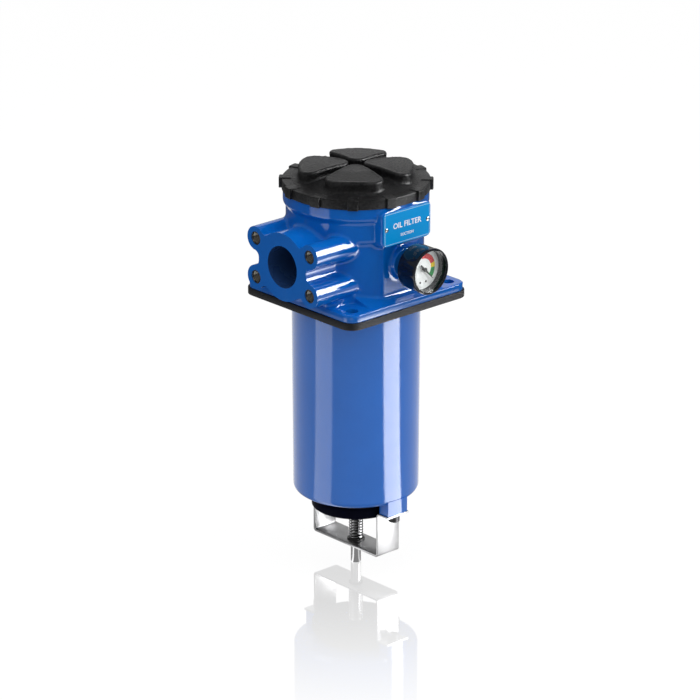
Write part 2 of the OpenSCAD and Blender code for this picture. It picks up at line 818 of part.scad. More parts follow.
module valve_bracket() {
    color(steel)
        difference() {
            rotate([90, 0, 0])
                linear_extrude(strip_w, center = true) polygon(bracket_outline());
            translate([0, 0, bracket_low - over]) cylinder(r = bush_r, h = strip_t + 2 * over);
            for (x = [-1, 1])
                translate([x * screw_x, 0, lug_z - strip_t - over])
                    cylinder(d = screw_d + 0.6, h = strip_t + 2 * over);
        }
}

module guide_bush() {
    inner = stem_r + 0.06;
    color([0.22, 0.22, 0.23])
        rotate_extrude()
            polygon([[inner, bracket_low - 1], [bush_r - 0.05, bracket_low - 1],
                     [bush_r - 0.05, base_top], [bush_r + 1.4, base_top],
                     [bush_r + 1.4, spring_low], [inner, spring_low]]);
}

// Socket-head screws that hold the bracket to the lugs
module bracket_screws() {
    head_h = screw_d;
    head_r = screw_d * 0.85;
    color([0.3, 0.3, 0.3])
        for (x = [-1, 1])
            translate([x * screw_x, 0, lug_z - strip_t])
                difference() {
                    union() {
                        cylinder(d = screw_d - 1, h = strip_t + lug_drop - 4);
                        translate([0, 0, -head_h]) cylinder(r = head_r, h = head_h);
                    }
                    translate([0, 0, -head_h - over])
                        cylinder(r = screw_d * 0.48, h = screw_d / 2 + over, $fn = 6);
                }
}

module gauge_stub() {
    color(brass)
        difference() {
            union() {
                translate([gauge_pad_x - 4, 0, gauge_z])
                    along_x() cylinder(d = 9.6, h = gauge_boss_x - gauge_pad_x + 4 + over);
                translate([gauge_boss_x, 0, gauge_z])
                    along_x() cylinder(r = gauge_hex_af / sqrt(3), h = gauge_hex_len, $fn = 6);
                translate([gauge_back - over, 0, gauge_z])
                    along_x() cylinder(d = 8, h = 3.5 + over);
            }
            translate([gauge_pad_x - 5, 0, gauge_z])
                along_x() cylinder(d = 4, h = gauge_back - gauge_pad_x + 5);
        }
}

module gauge_case() {
    floor_t = 2;
    ledge_r = dial_r - 3.5;
    color([0.05, 0.05, 0.08])
        translate([gauge_back, 0, gauge_z])
            along_x() rotate_extrude()
                polygon([[4.05, 0], [gauge_r - 2, 0], [gauge_r, 2],
                         [gauge_r, gauge_depth - bezel_h - fit],
                         [gauge_r - 0.5, gauge_depth - bezel_h - fit],
                         [gauge_r - 0.5, window_x - gauge_back],
                         [dial_r + 0.1, window_x - gauge_back],
                         [dial_r + 0.1, dial_x - dial_t - gauge_back],
                         [ledge_r, dial_x - dial_t - gauge_back], [ledge_r, floor_t],
                         [4.05, floor_t]]);
}

// Block and frame that carry the pointer's spindle behind the dial
module gauge_movement() {
    front = dial_x - dial_t - gauge_back - 1;
    block = [11.6, 9, 5];
    color(brass)
        translate([gauge_back, 0, gauge_z])
            along_x() difference() {
                union() {
                    translate([0, 0, 2]) cylinder(r = 5.5, h = front - 2);
                    translate([-7, -4 - block[1], 2]) cube(block);
                }
                translate([0, 0, -over]) cylinder(d = 8.1, h = 4.7 + over);
                translate([0, 0, over]) cylinder(r = spindle_r + 0.05, h = front + over);
            }
}

module bourdon_tube() {
    color(brass)
        translate([gauge_back + 5, 0, gauge_z])
            along_x() rotate(-60)
                rotate_extrude(angle = 270)
                    translate([11, 0]) circle(d = 3, $fn = 16);
}

module gauge_dial() {
    color("white")
        translate([dial_x - dial_t, 0, gauge_z])
            along_x() difference() {
                cylinder(r = dial_r, h = dial_t);
                translate([0, 0, -over]) cylinder(r = spindle_r + 0.4, h = dial_t + 2 * over);
            }
}

module dial_screws() {
    color([0.2, 0.2, 0.2])
        for (y = [-1, 1])
            translate([dial_x, y * dial_screw_y, gauge_z - dial_screw_drop])
                along_x() cylinder(d = 2, h = 0.6);
}

// Pointer with its hub, tail and spindle
module gauge_pointer() {
    tail = pointer_len / 2;
    color([0.1, 0.1, 0.1])
        translate([pointer_x, 0, gauge_z])
            along_x() rotate(-pointer_zero) {
                linear_extrude(pointer_t)
                    polygon([[-tail, -0.7], [-tail, 0.7], [0, 0.9], [pointer_len, 0.2],
                             [pointer_len, -0.2], [0, -0.9]]);
                cylinder(r = 1.9, h = 1.3);
                translate([0, 0, spindle_x - pointer_x])
                    cylinder(r = spindle_r, h = pointer_x - spindle_x + pointer_t);
            }
}

module gauge_window() {
    color([0.85, 0.9, 0.92, 0.25])
        translate([window_x, 0, gauge_z]) along_x() cylinder(r = gauge_r - 0.7, h = window_t);
}

module gauge_bezel() {
    color([0.07, 0.07, 0.09])
        translate([gauge_front, 0, gauge_z])
            along_x() rotate_extrude()
                polygon([[gauge_r - 0.5, -bezel_h], [gauge_r + bezel_lip, -bezel_h],
                         [gauge_r + bezel_lip, -2 * bezel_lip], [gauge_r - bezel_lip, 0],
                         [dial_r, 0], [dial_r, -window_sink], [gauge_r - 0.5, -window_sink]]);
}

head();
bowl();
bowl_seal();
flange_gasket();
thread_inserts();
nameplate();
nameplate_rivets();
cover();
cover_seal();
element_top_cap();
filter_mesh();
support_cage();
element_bottom_cap();
element_seal();
valve_stem();
valve_plate();
valve_seal();
stem_nut();
valve_spring();
valve_bracket();
guide_bush();
bracket_screws();
gauge_stub();
gauge_case();
gauge_movement();
bourdon_tube();
gauge_dial();
dial_screws();
gauge_pointer();
gauge_window();
gauge_bezel();
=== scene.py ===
from math import acos, atan2, cos, degrees, hypot, pi, radians, sin, sqrt, tan
import bpy
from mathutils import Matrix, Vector


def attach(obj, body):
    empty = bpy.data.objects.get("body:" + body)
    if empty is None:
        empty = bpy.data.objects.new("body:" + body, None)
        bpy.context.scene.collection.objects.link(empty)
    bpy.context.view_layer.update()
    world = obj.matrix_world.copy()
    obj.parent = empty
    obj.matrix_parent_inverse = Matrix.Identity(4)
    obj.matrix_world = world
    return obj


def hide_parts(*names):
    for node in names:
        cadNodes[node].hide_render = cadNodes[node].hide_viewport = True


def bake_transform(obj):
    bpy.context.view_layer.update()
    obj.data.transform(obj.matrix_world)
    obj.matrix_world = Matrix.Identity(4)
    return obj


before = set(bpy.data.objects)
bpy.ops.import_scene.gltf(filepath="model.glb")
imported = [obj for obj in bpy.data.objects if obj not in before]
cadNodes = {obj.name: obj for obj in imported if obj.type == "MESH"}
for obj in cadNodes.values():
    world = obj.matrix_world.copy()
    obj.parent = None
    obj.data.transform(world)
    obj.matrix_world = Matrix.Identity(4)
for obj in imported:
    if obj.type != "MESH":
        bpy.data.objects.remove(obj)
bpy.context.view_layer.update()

mm = 0.001
fullTurn = 2 * pi
weld = 2e-6
print("frame loaded:", len(cadNodes), "nodes")


# The bench: small moves that every piece uses

def setMode(mode):
    bpy.ops.object.mode_set(mode=mode)


def clearSelection():
    if bpy.context.object and bpy.context.object.mode != "OBJECT":
        setMode("OBJECT")
    bpy.ops.object.select_all(action="DESELECT")


def pickUp(piece):
    clearSelection()
    piece.select_set(True)
    bpy.context.view_layer.objects.active = piece


def nameNew(name):
    piece = bpy.context.object
    piece.name = name
    piece.data.name = name
    return piece


def settle(piece):
    pickUp(piece)
    bpy.ops.object.transform_apply(location=True, rotation=True, scale=True)


def closeSkin():
    # welds the doubles, turns the faces outward and leaves edit mode
    bpy.ops.mesh.select_all(action="SELECT")
    bpy.ops.mesh.remove_doubles(threshold=weld)
    bpy.ops.mesh.normals_make_consistent(inside=False)
    setMode("OBJECT")


def drawLine(points, closed):
    # a plane shrunk to one vertex, extruded from point to point
    clearSelection()
    bpy.ops.mesh.primitive_plane_add(size=mm)
    setMode("EDIT")
    bpy.ops.mesh.select_mode(type="VERT")
    bpy.ops.mesh.merge(type="CENTER")
    bpy.ops.transform.translate(value=points[0])
    here = Vector(points[0])
    for point in points[1:] + (points[:1] if closed else []):
        step = Vector(point) - here
        bpy.ops.mesh.extrude_region_move(TRANSFORM_OT_translate={"value": step})
        here = Vector(point)
    bpy.ops.mesh.select_all(action="SELECT")
    bpy.ops.mesh.remove_doubles(threshold=weld)
    bpy.ops.mesh.select_all(action="SELECT")


def turned(name, profile, steps=96, along="Z", level=0.0):
    # the profile is (radius, height) in mm, and stays open where it touches the axis
    closed = all(radius > 0 for radius, height in profile)
    if along == "Z":
        points = [(radius * mm, 0, height * mm) for radius, height in profile]
        centre, axis = (0, 0, 0), (0, 0, 1)
    else:
        points = [(height * mm, 0, (level + radius) * mm) for radius, height in profile]
        centre, axis = (0, 0, level * mm), (1, 0, 0)
    drawLine(points, closed)
    bpy.ops.mesh.spin(steps=steps, angle=fullTurn, center=centre, axis=axis)
    closeSkin()
    return nameNew(name)


def pushed(name, points, push):
    drawLine([tuple(value * mm for value in point) for point in points], True)
    bpy.ops.mesh.edge_face_add()
    step = Vector(push) * mm
    bpy.ops.mesh.extrude_region_move(TRANSFORM_OT_translate={"value": step})
    closeSkin()
    return nameNew(name)


def block(name, low, high):
    clearSelection()
    middle = [(a + b) / 2 * mm for a, b in zip(low, high)]
    bpy.ops.mesh.primitive_cube_add(size=1, location=middle)
    piece = nameNew(name)
    piece.scale = [(b - a) * mm for a, b in zip(low, high)]
    settle(piece)
    return piece


def rod(name, start, radius, length, along, sides=48):
    clearSelection()
    turns = {"X": (0, pi / 2, 0), "Y": (pi / 2, 0, 0), "Z": (0, 0, 0)}
    shift = {"X": (1, 0, 0), "Y": (0, 1, 0), "Z": (0, 0, 1)}[along]
    middle = (Vector(start) + Vector(shift) * length / 2) * mm
    bpy.ops.mesh.primitive_cylinder_add(vertices=sides, radius=radius * mm, depth=length * mm,
                                        location=middle, rotation=turns[along])
    piece = nameNew(name)
    settle(piece)
    return piece


def arcPoints(centre, radius, start, end, count):
    angles = [radians(start + (end - start) * i / count) for i in range(count + 1)]
    return [(centre[0] + radius * cos(a), centre[1] + radius * sin(a)) for a in angles]


def roundedBox(width, height, radius, count=6):
    points = []
    for sx, sy, start in ((1, 1, 0), (-1, 1, 90), (-1, -1, 180), (1, -1, 270)):
        centre = (sx * (width / 2 - radius), sy * (height / 2 - radius))
        points += arcPoints(centre, radius, start, start + 90, count)
    return points


def change(piece, kind, **settings):
    pickUp(piece)
    bpy.ops.object.modifier_add(type=kind)
    step = piece.modifiers[-1]
    for key, value in settings.items():
        setattr(step, key, value)
    bpy.ops.object.modifier_apply(modifier=step.name)


def carve(piece, operation, others):
    for other in others:
        change(piece, "BOOLEAN", operation=operation, solver="MANIFOLD", object=other)
        bpy.data.objects.remove(other)


def unite(piece, *others):
    carve(piece, "UNION", others)


def cutAway(piece, *tools):
    carve(piece, "DIFFERENCE", tools)


def keepInside(piece, other):
    carve(piece, "INTERSECT", [other])


def roundEdges(piece, width, segments=3, angle=30):
    change(piece, "BEVEL", width=width * mm, segments=segments, limit_method="ANGLE",
           angle_limit=radians(angle), use_clamp_overlap=True)


def skinOver(piece, voxel):
    change(piece, "REMESH", mode="VOXEL", voxel_size=voxel * mm)


def swell(piece, height):
    change(piece, "DISPLACE", mid_level=0.0, strength=height * mm)


def fillCorners(piece, radius, voxel):
    # a ball of this radius rolls through the inner corners
    skinOver(piece, voxel)
    swell(piece, radius)
    skinOver(piece, voxel)
    swell(piece, -radius)
    skinOver(piece, voxel)


def softenEdges(piece, radius, voxel):
    # the same from inside, which rounds the outer edges
    skinOver(piece, voxel)
    swell(piece, -radius)
    skinOver(piece, voxel)
    swell(piece, radius)
    skinOver(piece, voxel)


def relax(piece, passes):
    change(piece, "SMOOTH", factor=0.5, iterations=passes)


def shadeSmooth(piece, angle):
    pickUp(piece)
    bpy.ops.object.shade_smooth_by_angle(angle=radians(angle))


def copyOf(piece, name):
    twin = piece.copy()
    twin.data = piece.data.copy()
    twin.name = name
    bpy.context.collection.objects.link(twin)
    return twin


def moveBy(piece, step):
    pickUp(piece)
    bpy.ops.transform.translate(value=Vector(step) * mm)
    settle(piece)


def turnAbout(piece, angle, axis="Z", centre=(0, 0, 0)):
    # with no window the operator turns the other way, so the angle is negative
    pickUp(piece)
    bpy.ops.transform.rotate(value=-radians(angle), orient_axis=axis,
                             center_override=Vector(centre) * mm)
    settle(piece)


def joinUp(piece, *others):
    pickUp(piece)
    for other in others:
        other.select_set(True)
    bpy.ops.object.join()


def makePair(piece, step):
    # a piece at the step and its copy on the other side of the axis
    twin = copyOf(piece, "pairTwin")
    moveBy(piece, step)
    moveBy(twin, [-value for value in step])
    joinUp(piece, twin)


def pickFaces(piece, test):
    # selects the faces whose centre and normal pass the test, then enters edit mode
    pickUp(piece)
    setMode("EDIT")
    bpy.ops.mesh.select_mode(type="FACE")
    bpy.ops.mesh.select_all(action="DESELECT")
    setMode("OBJECT")
    for face in piece.data.polygons:
        face.select = test(face.center / mm, face.normal)
    setMode("EDIT")


def take(settings, names):
    # the named values of a dictionary of settings, in this order
    return [settings[name] for name in names.split()]


def coat(piece, *finishes):
    piece.data.materials.clear()
    for finish in finishes:
        piece.data.materials.append(finish)


def fitPiece(piece, finish, node, body="root", smooth=30):
    shadeSmooth(piece, smooth)
    # booleans leave an empty material slot
    if not any(piece.data.materials):
        coat(piece, finish)
    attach(piece, body)
    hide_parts(node)


# Finishes: one node tree each, in Object coordinates

def addNode(tree, kind, values=None, **settings):
    node = tree.nodes.new("ShaderNode" + kind)
    for key, value in settings.items():
        setattr(node, key, value)
    for key, value in (values or {}).items():
        if hasattr(value, "is_linked"):
            tree.links.new(value, node.inputs[key])
        else:
            node.inputs[key].default_value = value
    return node


def reckon(tree, operation, first, second=0.0):
    return addNode(tree, "Math", {0: first, 1: second}, operation=operation).outputs[0]


def times(tree, first, second):
    return reckon(tree, "MULTIPLY", first, second)


def rampOf(tree, value, start, end, low=0.0, high=1.0):
    node = addNode(tree, "MapRange",
                   {"Value": value, "From Min": start, "From Max": end,
                    "To Min": low, "To Max": high}, interpolation_type="SMOOTHSTEP")
    return node.outputs["Result"]


def bandOf(tree, value, start, end, soft):
    rise = rampOf(tree, value, start - soft, start + soft)
    fall = rampOf(tree, value, end - soft, end + soft, 1.0, 0.0)
    return times(tree, rise, fall)


def splitOf(tree, vector):
    return addNode(tree, "SeparateXYZ", {0: vector}).outputs


def angleOf(tree, across, up):
    return times(tree, reckon(tree, "ARCTAN2", up, across), 180 / pi)


def mixColours(tree, factor, first, second):
    node = addNode(tree, "Mix", {0: factor}, data_type="RGBA")
    for index, value in ((6, first), (7, second)):
        if hasattr(value, "is_linked"):
            tree.links.new(value, node.inputs[index])
        else:
            node.inputs[index].default_value = (*value, 1.0)
    return node.outputs[2]


def mixShaders(tree, factor, first, second):
    return addNode(tree, "MixShader",
                   {0: factor, 1: first.outputs[0], 2: second.outputs[0]})


def surfaceBy(tree, node):
    tree.links.new(node.outputs[0], tree.nodes["Material Output"].inputs["Surface"])


def newFinish(name, rough, shine=0.5, **values):
    finish = bpy.data.materials.new(name)
    finish.use_nodes = True
    tree = finish.node_tree
    shader = tree.nodes["Principled BSDF"]
    values.update(Roughness=rough, Specular_IOR_Level=shine)
    for key, value in values.items():
        socket = shader.inputs[key.replace("_", " ")]
        socket.default_value = (*value, 1.0) if isinstance(value, tuple) else value
    place = addNode(tree, "TexCoord").outputs["Object"]
    return finish, tree, shader, place


def colourBy(tree, shader, factor, first, second):
    tree.links.new(mixColours(tree, factor, first, second), shader.inputs["Base Color"])


def roughBy(tree, shader, value, start, end, low, high):
    tree.links.new(rampOf(tree, value, start, end, low, high), shader.inputs["Roughness"])


def noiseOf(tree, place, size, detail=2.0, roughness=0.5, stretch=None):
    # size is the grain in mm
    if stretch:
        place = addNode(tree, "Mapping", {"Vector": place, "Scale": stretch}).outputs[0]
    node = addNode(tree, "TexNoise", {"Vector": place, "Scale": 1.0 / (size * mm),
                                      "Detail": detail, "Roughness": roughness})
    return node.outputs["Fac"]


def bumpOf(tree, shader, heights):
    # heights is a list of (height socket, depth in mm)
    normal = None
    for height, depth in heights:
        values = {"Height": height, "Strength": 1.0, "Distance": depth * mm}
        if normal:
            values["Normal"] = normal
        normal = addNode(tree, "Bump", values).outputs["Normal"]
    tree.links.new(normal, shader.inputs["Normal"])


def paintOf(name, deep, light, gloss, orangePeel, castGrain):
    finish, tree, shader, place = newFinish(name, gloss)
    clouds = noiseOf(tree, place, 38, 3.0)
    specks = noiseOf(tree, place, 1.6, 2.0)
    blend = reckon(tree, "ADD", rampOf(tree, clouds, 0.3, 0.7, 0.0, 0.75),
                   rampOf(tree, specks, 0.3, 0.7, 0.0, 0.25))
    colourBy(tree, shader, blend, deep, light)
    roughBy(tree, shader, noiseOf(tree, place, 14, 3.0), 0.25, 0.75, gloss * 0.75, gloss * 1.35)
    bumpOf(tree, shader, [(noiseOf(tree, place, 3.2, 1.0), orangePeel),
                          (noiseOf(tree, place, 0.7, 2.0), castGrain)])
    return finish


def metalOf(name, colour, rough, brush=None, grain=0.002, mottle=0.12):
    finish, tree, shader, place = newFinish(name, rough, Base_Color=colour, Metallic=1.0)
    streaks = noiseOf(tree, place, 0.5, 3.0, 0.6, brush or (1, 1, 1))
    colourBy(tree, shader, streaks, tuple(value * (1 - mottle) for value in colour), colour)
    roughBy(tree, shader, streaks, 0.25, 0.75, rough * 0.8, rough * 1.3)
    bumpOf(tree, shader, [(streaks, grain)])
    return finish


def mouldedOf(name, colour, lighter, rough, shine, grainSize, grainDepth):
    finish, tree, shader, place = newFinish(name, rough, shine)
    grain = noiseOf(tree, place, grainSize, 4.0, 0.65)
    blend = reckon(tree, "ADD", rampOf(tree, noiseOf(tree, place, 12, 3.0), 0.3, 0.7, 0.0, 0.3),
                   rampOf(tree, grain, 0.38, 0.62, 0.0, 0.7))
    colourBy(tree, shader, blend, colour, lighter)
    roughBy(tree, shader, grain, 0.3, 0.7, rough * 0.82, rough * 1.2)
    bumpOf(tree, shader, [(grain, grainDepth)])
    return finish


castPaint = paintOf("castBluePaint", (0.001, 0.116, 0.49), (0.003, 0.136, 0.54),
                    0.085, 0.005, 0.001)
# painted shade: a darker blue for the faces inside the port bore and the chamber
innerShadePaint = paintOf("innerPaintedShade", (0.016, 0.048, 0.150), (0.022, 0.062, 0.190), 0.3, 0.02, 0.01)
bowlPaint = paintOf("bowlBluePaint", (0.004, 0.140, 0.59), (0.006, 0.152, 0.63),
                    0.10, 0.003, 0.001)
coverNylon = mouldedOf("blackGrainedNylon", (0.002, 0.002, 0.0025), (0.017, 0.017, 0.0175),
                       0.40, 0.28, 1.9, 0.4)
gasketRubber = mouldedOf("gasketRubber", (0.009, 0.009, 0.0105), (0.015, 0.015, 0.0165),
                         0.6, 0.2, 0.6, 0.03)
sealRubber = mouldedOf("sealRubber", (0.02, 0.02, 0.02), (0.03, 0.03, 0.03), 0.45, 0.4, 0.4, 0.01)
valveBlack = mouldedOf("valveBlack", (0.003, 0.0034, 0.008), (0.005, 0.0056, 0.013),
                       0.45, 0.008, 0.9, 0.01)
bushBlack = mouldedOf("bushBlack", (0.02, 0.02, 0.021), (0.035, 0.035, 0.036), 0.4, 0.4, 0.5, 0.01)
gaugeBlack = mouldedOf("gaugeGlossBlack", (0.004, 0.005, 0.01), (0.006, 0.008, 0.014),
                       0.06, 0.4, 3.0, 0.003)
pointerBlack = mouldedOf("pointerBlack", (0.008, 0.008, 0.008), (0.014, 0.014, 0.014),
                         0.35, 0.4, 0.3, 0.002)
brightSteel = metalOf("brightSteel", (0.62, 0.63, 0.65), 0.14, (1, 1, 0.2), 0.001)
stemSteel = metalOf("stemSteel", (0.37, 0.37, 0.375), 0.16, (1, 1, 0.2), 0.001)
springSteel = metalOf("springSteel", (0.36, 0.36, 0.37), 0.2)
stripSteel = metalOf("stripStainless", (0.35, 0.35, 0.355), 0.36, (1, 0.06, 1), 0.001, 0.06)
capSteel = metalOf("capSteel", (0.55, 0.56, 0.58), 0.3)
screwBlack = metalOf("screwBlackOxide", (0.05, 0.05, 0.052), 0.35, None, 0.004)
insertSteel = metalOf("insertSteel", (0.26, 0.25, 0.22), 0.22)
gaugeBrass = metalOf("gaugeBrass", (0.68, 0.49, 0.22), 0.25)
print("finishes mixed")


# Camera, light and floor

shot = {
    "azimuth": 47.54, "elevation": 20.43, "distance": 3.5, "lens": 202.0, "sensor": 36.0,
    "aimHeight": -0.05306, "aimRight": -0.00535}
clearSelection()
turnRight = radians(shot["azimuth"])
tilt = radians(shot["elevation"])
aim = Vector((cos(turnRight), sin(turnRight), 0)) * shot["aimRight"]
aim.z = shot["aimHeight"]
toCamera = Vector((sin(turnRight) * cos(tilt), -cos(turnRight) * cos(tilt), sin(tilt)))
bpy.ops.object.camera_add(location=aim + toCamera * shot["distance"],
                          rotation=toCamera.to_track_quat("Z", "Y").to_euler())
camera = bpy.context.object
camera.data.lens = shot["lens"]
camera.data.sensor_width = shot["sensor"]
camera.data.clip_end = 60.0
bpy.context.scene.camera = camera
bpy.context.scene.view_settings.view_transform = "Standard"

# sectors and heights are in degrees, distances along the floor in metres, and a fade is
# (start, end, low, high)
studio = {
    "sky": 0.5, "skyInGloss": 0.24, "panel": (28, 55), "panelHeight": (4, 40), "panelLight": 27.0,
    "backdrop": (124, 151), "backdropHeight": (6, 34), "floorHeight": -0.25765,
    "nearFade": (0.74, 0.80, 1.0, 0.12), "underFade": (0.13, 0.18, 0.6, 1.0), "right": (6, 39),
    "rightFade": (0.75, 0.78, 11.0, 1.2), "rightStart": (0.11, 0.14, 0.1, 1.0), "far": (24, 48),
    "farRing": (0.80, 0.84), "farLight": 4.2, "left": (-117, -84),
    "leftFade": (0.9, 1.4, 2.3, 0.5), "mirrorFade": (0.0, 0.42, 0.34, 0.0), "matte": 0.6,
    "white": 0.93, "litWhite": 0.11}


def grey(value):
    return (value, value, value, 1)


def buildSky():
    world = bpy.data.worlds.new("studioSky")
    bpy.context.scene.world = world
    world.use_nodes = True
    tree = world.node_tree
    path = addNode(tree, "LightPath").outputs
    split = splitOf(tree, addNode(tree, "TexCoord").outputs["Generated"])
    angle = angleOf(tree, split["X"], split["Y"])
    height = times(tree, reckon(tree, "ARCSINE", split["Z"]), 180 / pi)
    # what glossy paint sees: a dim sky, a bright panel on the right, the white backdrop behind
    panel = times(tree, bandOf(tree, angle, *studio["panel"], 2.0),
                  bandOf(tree, height, *studio["panelHeight"], 2.0))
    backdrop = times(tree, bandOf(tree, height, *studio["backdropHeight"], 1.0),
                     bandOf(tree, angle, *studio["backdrop"], 1.0))
    dim = reckon(tree, "ADD", studio["skyInGloss"],
                 times(tree, backdrop, 1.0 - studio["skyInGloss"]))
    gloss = reckon(tree, "ADD", times(tree, panel, studio["panelLight"]), dim)
    plain = rampOf(tree, path["Is Camera Ray"], 0.0, 1.0, studio["sky"], 1.0)
    light = addNode(tree, "Mix", {0: path["Is Glossy Ray"], 2: plain, 3: gloss})
    background = tree.nodes["Background"]
    tree.links.new(light.outputs[0], background.inputs["Strength"])
    background.inputs["Color"].default_value = grey(1)


def buildFloor():
    clearSelection()
    bpy.ops.mesh.primitive_plane_add(size=40, location=(0, 0, studio["floorHeight"]))
    floor = nameNew("studioFloor")
    finish = bpy.data.materials.new("whiteFloor")
    finish.use_nodes = True
    tree = finish.node_tree
    tree.nodes.remove(tree.nodes["Principled BSDF"])
    place = addNode(tree, "TexCoord").outputs["Object"]
    split = splitOf(tree, place)
    angle = angleOf(tree, split["X"], split["Y"])
    away = addNode(tree, "VectorMath", {0: place}, operation="LENGTH").outputs["Value"]
    path = addNode(tree, "LightPath").outputs
    # what glossy paint sees in the floor: a bright round with brighter sectors
    near = times(tree, rampOf(tree, away, *studio["nearFade"]),
                 rampOf(tree, away, *studio["underFade"]))
    right = times(tree, bandOf(tree, angle, *studio["right"], 1.0),
                  rampOf(tree, away, *studio["rightFade"]))
    right = times(tree, right, rampOf(tree, away, *studio["rightStart"]))
    far = times(tree, bandOf(tree, angle, *studio["far"], 1.0),
                times(tree, bandOf(tree, away, *studio["farRing"], 0.01), studio["farLight"]))
    left = times(tree, bandOf(tree, angle, *studio["left"], 1.5),
                 rampOf(tree, away, *studio["leftFade"]))
    glow = near
    for sector in (right, far, left):
        glow = reckon(tree, "ADD", glow, sector)
    inGloss = addNode(tree, "Emission", {"Color": grey(1), "Strength": glow})
    matte = addNode(tree, "BsdfDiffuse", {"Color": grey(studio["matte"])})
    # what the camera sees: white that keeps the shadow, with a fading mirror image
    white = addNode(tree, "Emission", {"Color": grey(1), "Strength": studio["white"]})
    lit = addNode(tree, "BsdfDiffuse", {"Color": grey(studio["litWhite"])})
    seen = addNode(tree, "AddShader", {0: white.outputs[0], 1: lit.outputs[0]})
    mirror = addNode(tree, "BsdfGlossy", {"Color": grey(1), "Roughness": 0.03})
    shiny = mixShaders(tree, rampOf(tree, away, *studio["mirrorFade"]), seen, mirror)
    direct = reckon(tree, "MAXIMUM", path["Is Camera Ray"], path["Is Transmission Ray"])
    top = mixShaders(tree, direct, mixShaders(tree, path["Is Glossy Ray"], matte, inGloss), shiny)
    under = addNode(tree, "NewGeometry").outputs["Backfacing"]
    clear = addNode(tree, "BsdfTransparent")
    surfaceBy(tree, mixShaders(tree, under, top, clear))
    floor.data.materials.append(finish)


# (azimuth from the camera, elevation, size, power)
lamps = {
    "topLamp": (25, 80, 1.4, 13.0), "keyLamp": (-38, 45, 1.0, 3.0),
    "rightLamp": (62, 22, 1.2, 9.0)}
lampDistance = 1.8


def addLamp(name, azimuth, elevation, size, power):
    clearSelection()
    turn = turnRight - pi / 2 + radians(azimuth)
    rise = radians(elevation)
    away = Vector((cos(turn) * cos(rise), sin(turn) * cos(rise), sin(rise)))
    bpy.ops.object.light_add(type="AREA", location=away * lampDistance,
                             rotation=away.to_track_quat("Z", "Y").to_euler())
    lamp = bpy.context.object
    lamp.name = name
    lamp.data.shape = "SQUARE"
    lamp.data.size = size
    lamp.data.energy = power
    lamp.visible_camera = False
    lamp.visible_glossy = False


buildSky()
buildFloor()
for name, settings in lamps.items():
    addLamp(name, *settings)
print("camera, light and floor set")


# Head: cast skin first, then the machined faces and bores

headSize = {
    "flange": 140, "flangeLow": 6.5, "deck": 13.0, "corner": 11, "land": 1.5, "slope": 0.25,
    "barrel": 60, "bandStart": 66.5, "band": 62, "collarStart": 88.5, "collar": 64.5, "top": 99.5,
    "padHalf": 22, "padFace": 58.5, "padTop": 81, "bossFace": 64, "boss": 14, "gaugeHeight": 45.5,
    "gaugeBore": 4.85, "portFace": 87, "portHeight": 45.5, "hub": 31, "lobe": 11, "fillet": 5,
    "boltX": 34.95, "boltZ": 17.85, "pocketWall": 43, "pocketRound": 4, "tankBolt": 57.5,
    "tankHole": 5.5, "plateFace": 64.8, "plateHeight": 81, "plateBoss": (58.2, 33.2, 5),
    "rivet": 24.5, "rivetHole": 1.3, "port": 19, "insert": 6.2, "insertDepth": 22.6,
    "neckBore": 56.6, "neckShelf": 18, "barrelBore": 53, "skirtShelf": 80.5, "skirtBore": 57,
    "sealBore": 60.6, "sealSeat": 3.6, "voxel": 0.84, "castRound": 1.4}


def portOutline(size):
    # the round hub with its four bolt bosses, blended by fillets
    hub, bend, boss = take(size, "hub fillet lobe")
    lobe = Vector((size["boltX"], size["boltZ"]))
    reach = lobe.length
    a, b = hub + bend, boss + bend
    lobeTurn = degrees(atan2(lobe.y, lobe.x))
    swing = degrees(acos((a * a + reach * reach - b * b) / (2 * a * reach)))
    low, high = lobeTurn - swing, lobeTurn + swing

    def spot(turn):
        return Vector((a * cos(radians(turn)), a * sin(radians(turn))))

    def heading(start, end):
        return degrees(atan2(end.y - start.y, end.x - start.x))

    quarter = arcPoints((0, 0), hub, 0, low, 2)
    quarter += arcPoints(spot(low), bend, 180 + low, heading(spot(low), lobe), 8)
    quarter += arcPoints(lobe, boss, heading(lobe, spot(low)), heading(lobe, spot(high)), 24)
    quarter += arcPoints(spot(high), bend, 360 + heading(spot(high), lobe), 180 + high, 8)
    quarter += arcPoints((0, 0), hub, high, 90, 6)
    right = quarter + [(-x, y) for x, y in reversed(quarter[:-1])]
    return right + [(x, -y) for x, y in reversed(right[1:-1])]


